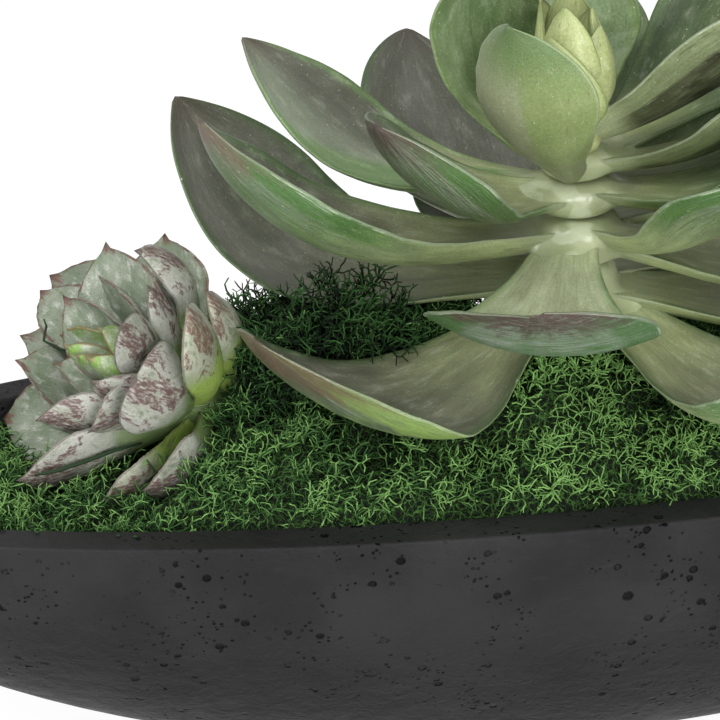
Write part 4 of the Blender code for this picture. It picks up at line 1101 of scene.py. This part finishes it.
def grow_sprigs(starts, sizes, ups, painted_cushion_light, leaves, rng):
    """Branching strands: each end grows, curls and forks level by level, and levels out near the top."""
    count = len(starts)
    heading = unit(ups + rng.normal(0, 0.55, (count, 3)))
    sprig = np.arange(count)
    place = starts
    beside = unit(np.cross(heading, (0.31, 0.95, 0.05)))
    points, tones, chances, faces = [], [], [], []
    # Painted light: strands on the cushion tops get a lighter colour, and those in the valleys a darker one.
    luck_and_light = 0.45 * rng.random(count) + 0.75 * painted_cushion_light
    levels = len(STRAND_FORKS)

    def ring(place, heading, beside, radius):
        over = np.cross(heading, beside)
        corners = [place + radius[:, None] * (beside * math.cos(turn) + over * math.sin(turn))
                   for turn in (0.0, 2.094, 4.189)]
        return np.stack(corners, 1).reshape(-1, 3)

    def tone_of(place, sprig):
        return np.sum((place - starts[sprig]) * ups[sprig], axis=1) / (SPRIG_DEPTH * sizes[sprig])

    radius = STRAND_RADIUS * (0.85 + 0.4 * rng.random(count)) * sizes
    points.append(ring(place, heading, beside, radius))
    tones.append(np.zeros(3 * count))
    chances.append(np.repeat(luck_and_light, 3))
    rings = 3 * np.arange(count)
    total = 3 * count
    half_length, half_width = half_sizes(MOSS_EDGE_TOP, WALL * 0.75)
    for level, share in enumerate(STRAND_FORKS):
        forks = rng.random(len(place)) < share
        swing = rng.random(len(place)) * 2 * math.pi
        over = np.cross(heading, beside)
        aside = beside * np.cos(swing)[:, None] + over * np.sin(swing)[:, None]
        spread = np.where(forks, FORK_SPREAD, 0.0)[:, None] * (0.7 + 0.6 * rng.random((len(place), 1)))
        first = unit(heading + aside * spread + rng.normal(0, STRAND_CURL, (len(place), 3)))
        second = unit(heading - aside * spread + rng.normal(0, STRAND_CURL, (len(place), 3)))
        keep = np.flatnonzero(forks)
        old = np.concatenate([np.arange(len(place)), keep])
        heading_new = np.vstack([first, second[keep]])
        lift = 0.16 - 0.80 * np.clip(tone_of(place[old], sprig[old]) - 0.35, 0, 1.2)
        heading_new += lift[:, None] * ups[sprig[old]]
        heading_new = unit(heading_new)
        length = STRAND_STEP * sizes[sprig[old]] * (0.7 + 0.6 * rng.random(len(old)))
        if level == levels - 1:
            length *= 0.35
        ends = place[old] + heading_new * length[:, None]
        free = free_of(leaves, ends, 0.4 * MM)
        free &= (ends[:, 0] / half_length) ** 2 + (ends[:, 1] / half_width) ** 2 < 1
        old, heading_new, ends = old[free], heading_new[free], ends[free]
        beside_new = beside[old] - heading_new * np.sum(beside[old] * heading_new, axis=1)[:, None]
        beside_new = unit(beside_new)
        radius_new = radius[old] * (0.97 if level < levels - 2 else 0.8)
        base = rings[old]
        tone = tone_of(ends, sprig[old])
        if level == levels - 1:
            points.append(ends)
            tones.append(tone)
            chances.append(luck_and_light[sprig[old]])
            tips = total + np.arange(len(ends))
            for side in range(3):
                faces.append(np.stack([base + side, base + (side + 1) % 3, tips], 1))
            break
        points.append(ring(ends, heading_new, beside_new, radius_new))
        tones.append(np.repeat(tone, 3))
        chances.append(np.repeat(luck_and_light[sprig[old]], 3))
        new = total + 3 * np.arange(len(ends))
        total += 3 * len(ends)
        for side in range(3):
            after = (side + 1) % 3
            faces.append(np.stack([base + side, base + after, new + after], 1))
            faces.append(np.stack([base + side, new + after, new + side], 1))
        place, heading, beside, radius = ends, heading_new, beside_new, radius_new
        rings, sprig = new, sprig[old]
    return np.vstack(points), np.vstack(faces), np.concatenate(chances), np.concatenate(tones)


def strands(name, grown, paint):
    points, faces, chances, tones = grown
    mesh = bpy.data.meshes.new(name)
    mesh.vertices.add(len(points))
    mesh.vertices.foreach_set("co", points.ravel())
    mesh.loops.add(3 * len(faces))
    mesh.loops.foreach_set("vertex_index", faces.ravel())
    mesh.polygons.add(len(faces))
    mesh.polygons.foreach_set("loop_start", np.arange(0, 3 * len(faces), 3))
    mesh.update(calc_edges=True)
    corners = faces.ravel()
    layer = mesh.uv_layers.new(name="strand")
    layer.data.foreach_set("uv", np.column_stack([chances[corners], tones[corners]]).ravel())
    mesh.materials.append(paint)
    mesh.shade_smooth()
    made = bpy.data.objects.new(name, mesh)
    bpy.context.scene.collection.objects.link(made)
    return piece(made, None)


def tall_tufts(leaves, clumps, rng):
    """Starts of the sprigs that heap up under the leaves left of the middle."""
    starts = []
    for heap in TALL_HEAPS:
        starts.extend(heap_starts(heap, leaves, clumps, rng))
    starts = np.array(starts)
    return starts[free_of(leaves, starts, 1.0 * MM)]


def heap_starts(heap, leaves, clumps, rng):
    starts = []
    east, north, top, along, across = heap
    for x in np.arange(east - along, east + along, 5 * MM):
        for y in np.arange(north - across, north + across, 5 * MM):
            out = ((x - east) / along) ** 2 + ((y - north) / across) ** 2
            if out > 1:
                continue
            spot = np.array([[x, y]]) + rng.normal(0, 1.5, (1, 2)) * MM
            low = moss_tops(spot, leaves, clumps)[0][0] - 3 * MM
            high = top - 26 * MM * out
            hit = leaves.ray_cast(Vector((spot[0, 0], spot[0, 1], FOAM_TOP)), Vector((0, 0, 1)))[0]
            if hit:
                high = min(high, hit.z - 2 * MM)
            starts.extend([(spot[0, 0], spot[0, 1], z) for z in np.arange(low, high - 9 * MM, 6 * MM)])
    return starts


def moss():
    rng = np.random.default_rng(11)
    solid = [NODES[name] for name in ("whorl_1", "whorl_2", "rosette_small_left", "rosette_small_right",
                                      "stem_large", "stem_small_left", "stem_small_right")]
    leaves = tree_of(*solid)
    clumps = Clumps(rng)
    moss_ground(leaves, clumps, rng)
    half_length, half_width = half_sizes(MOSS_EDGE_TOP, WALL + 1.5 * MM)
    nx = int(2 * half_length / SPRIG_SPACING)
    ny = int(2 * half_width / SPRIG_SPACING)
    grid = np.stack(np.meshgrid(np.linspace(-half_length, half_length, nx),
                                np.linspace(-half_width, half_width, ny)), 2).reshape(-1, 2)
    spots = grid + rng.normal(0, 0.35, grid.shape) * SPRIG_SPACING
    spots = spots[(spots[:, 0] / half_length) ** 2 + (spots[:, 1] / half_width) ** 2 < 1]
    tops, covered = moss_tops(spots, leaves, clumps)
    sizes = 0.85 + 0.3 * rng.random(len(spots))
    ups = ups_of(spots, clumps)
    starts = np.column_stack([spots, tops]) - ups * (0.72 * SPRIG_DEPTH * sizes)[:, None]
    kept = free_of(leaves, starts, 1.0 * MM) & (rng.random(len(spots)) < np.where(covered, 0.6, 1.0))
    kept &= rng.random(len(spots)) < np.where(spots[:, 0] > THINNER_FROM, 0.45, 1.0)
    starts, sizes, ups = starts[kept], sizes[kept], ups[kept]
    # Painted light and shade: how high the cushion rises at a sprig sets how light its colour is.
    painted_cushion_light = np.clip((clumps.rise(starts[:, 0], starts[:, 1]) - CLUMP_VALLEY) / (9 * MM), 0, 1)
    tall = tall_tufts(leaves, clumps, rng)
    painted_cushion_light = np.concatenate([painted_cushion_light, np.full(len(tall), 0.5)])
    starts = np.vstack([starts, tall])
    sizes = np.concatenate([sizes, 1.0 + 0.4 * rng.random(len(tall))])
    ups = np.vstack([ups, unit(rng.normal(0, 0.5, tall.shape) + (0.0, -0.5, 1.0))])
    paint = moss_paint("moss_strands", srgb(13, 24, 13), srgb(54, 92, 45), srgb(128, 172, 96))
    ends = np.quantile(starts[:, 0], np.linspace(0, 1, MOSS_PIECES + 1))
    for number in range(MOSS_PIECES):
        last = number == MOSS_PIECES - 1
        chosen = (starts[:, 0] >= ends[number]) & ((starts[:, 0] < ends[number + 1]) | last)
        grown = grow_sprigs(starts[chosen], sizes[chosen], ups[chosen], painted_cushion_light[chosen], leaves, rng)
        print("moss", number, len(grown[1]), "triangles")
        strands(f"moss_strands_{number + 1}", grown, paint)


def add_tube(sheet, spots, radius, sides=6):
    """A thin round stick along the spots, narrower at its ends."""
    spots = np.array(spots) * MM
    last = len(spots) - 1
    points, faces = [], []
    for number, spot in enumerate(spots):
        ahead = spots[min(number + 1, last)] - spots[max(number - 1, 0)]
        ahead /= np.linalg.norm(ahead)
        beside = np.cross(ahead, (0.1, 0.2, 1.0))
        beside /= np.linalg.norm(beside)
        over = np.cross(ahead, beside)
        thick = radius * MM * (0.6 if number in (0, last) else 1.0)
        for turn in np.arange(sides) * 2 * math.pi / sides:
            points.append(spot + thick * (beside * math.cos(turn) + over * math.sin(turn)))
    for level in range(last):
        for spot in range(sides):
            after = (spot + 1) % sides
            low, high = level * sides, (level + 1) * sides
            faces.append((low + spot, low + after, high + after, high + spot))
    faces.append(tuple(range(sides))[::-1])
    faces.append(tuple(range(last * sides, (last + 1) * sides)))
    flat = np.array(points)[:, :2]
    sheet.add(points, faces, [0] * len(faces), flat * 0 + 0.5, flat)


def litter():
    """Small twigs on the moss and crumbs on the rim."""
    sheet = LeafMesh()
    for spots, radius in TWIGS:
        add_tube(sheet, spots, radius)
    for x, y, z in CRUMBS:
        add_tube(sheet, [(x - 0.8, y, z), (x - 0.3, y + 0.1, z + 0.2), (x + 0.4, y, z + 0.1), (x + 0.9, y + 0.2, z)],
                 0.5)
    piece(sheet.make("twigs_and_crumbs", [plain_paint("twig", srgb(38, 62, 36), 0.7, 600)]), None)


def hidden_nodes():
    """Foam and stems keep their CAD shape and get their finish."""
    foam = plain_paint("foam", (0.10, 0.16, 0.07, 1.0), 0.95, 900)
    stem = plain_paint("stem", (0.33, 0.42, 0.22, 1.0), 0.5, 500)
    for name, finish in (("foam_block", foam), ("stem_large", stem), ("stem_small_left", stem),
                         ("stem_small_right", stem)):
        for place in range(len(NODES[name].material_slots)):
            NODES[name].material_slots[place].material = finish


def studio():
    """Pale floor, white surroundings, two large soft lamps, camera of the photograph."""
    mesh = bpy.data.meshes.new("floor")
    mesh.from_pydata([(-6, -6, 0), (6, -6, 0), (6, 6, 0), (-6, 6, 0)], [], [(0, 1, 2, 3)])
    floor = bpy.data.objects.new("floor", mesh)
    bpy.context.scene.collection.objects.link(floor)
    paint = Paint("floor")
    mesh.materials.append(paint.finish((0.14, 0.14, 0.14, 1.0), 0.9, None, 0.1))
    paint.shader.inputs["Emission Color"].default_value = (1.0, 1.0, 1.0, 1.0)
    paint.shader.inputs["Emission Strength"].default_value = 0.93

    world = bpy.data.worlds.new("studio")
    world.use_nodes = True
    background = world.node_tree.nodes["Background"]
    background.inputs["Color"].default_value = (1.0, 1.0, 1.0, 1.0)
    background.inputs["Strength"].default_value = 0.55
    bpy.context.scene.world = world

    for name, spot, size, power in (("key", (-0.9, -0.9, 1.6), 0.9, 22), ("fill", (1.3, -0.8, 1.2), 1.0, 8),
                                    ("front", (0.1, -1.7, 0.45), 0.9, 17)):
        lamp = bpy.data.lights.new(name, "AREA")
        lamp.size = size
        lamp.energy = power
        made = bpy.data.objects.new(name, lamp)
        bpy.context.scene.collection.objects.link(made)
        made.location = spot
        made.rotation_mode = "QUATERNION"
        made.rotation_quaternion = (Vector((0, 0, 0.12)) - Vector(spot)).to_track_quat("-Z", "Y")

    camera = bpy.data.cameras.new("camera")
    camera.lens = CAMERA_LENS
    camera.sensor_width = CAMERA_SENSOR
    camera.clip_start, camera.clip_end = 0.05, 40
    made = bpy.data.objects.new("camera", camera)
    bpy.context.scene.collection.objects.link(made)
    back = Vector((math.sin(CAMERA_TURN) * math.cos(CAMERA_RISE), -math.cos(CAMERA_TURN) * math.cos(CAMERA_RISE),
                   math.sin(CAMERA_RISE)))
    made.location = CAMERA_TARGET + back * CAMERA_DISTANCE
    made.rotation_mode = "QUATERNION"
    made.rotation_quaternion = (-back).to_track_quat("-Z", "Y")
    bpy.context.scene.camera = made
    bpy.context.scene.view_settings.view_transform = "Standard"


for item in list(bpy.data.objects):
    if item.name in ("Cube", "Light", "Camera"):
        bpy.data.objects.remove(item, do_unlink=True)
looks = whorl_looks()
large_whorls(looks)
large_bud(looks)
small_rosettes()
fine_bowl()
moss()
litter()
hidden_nodes()
studio()
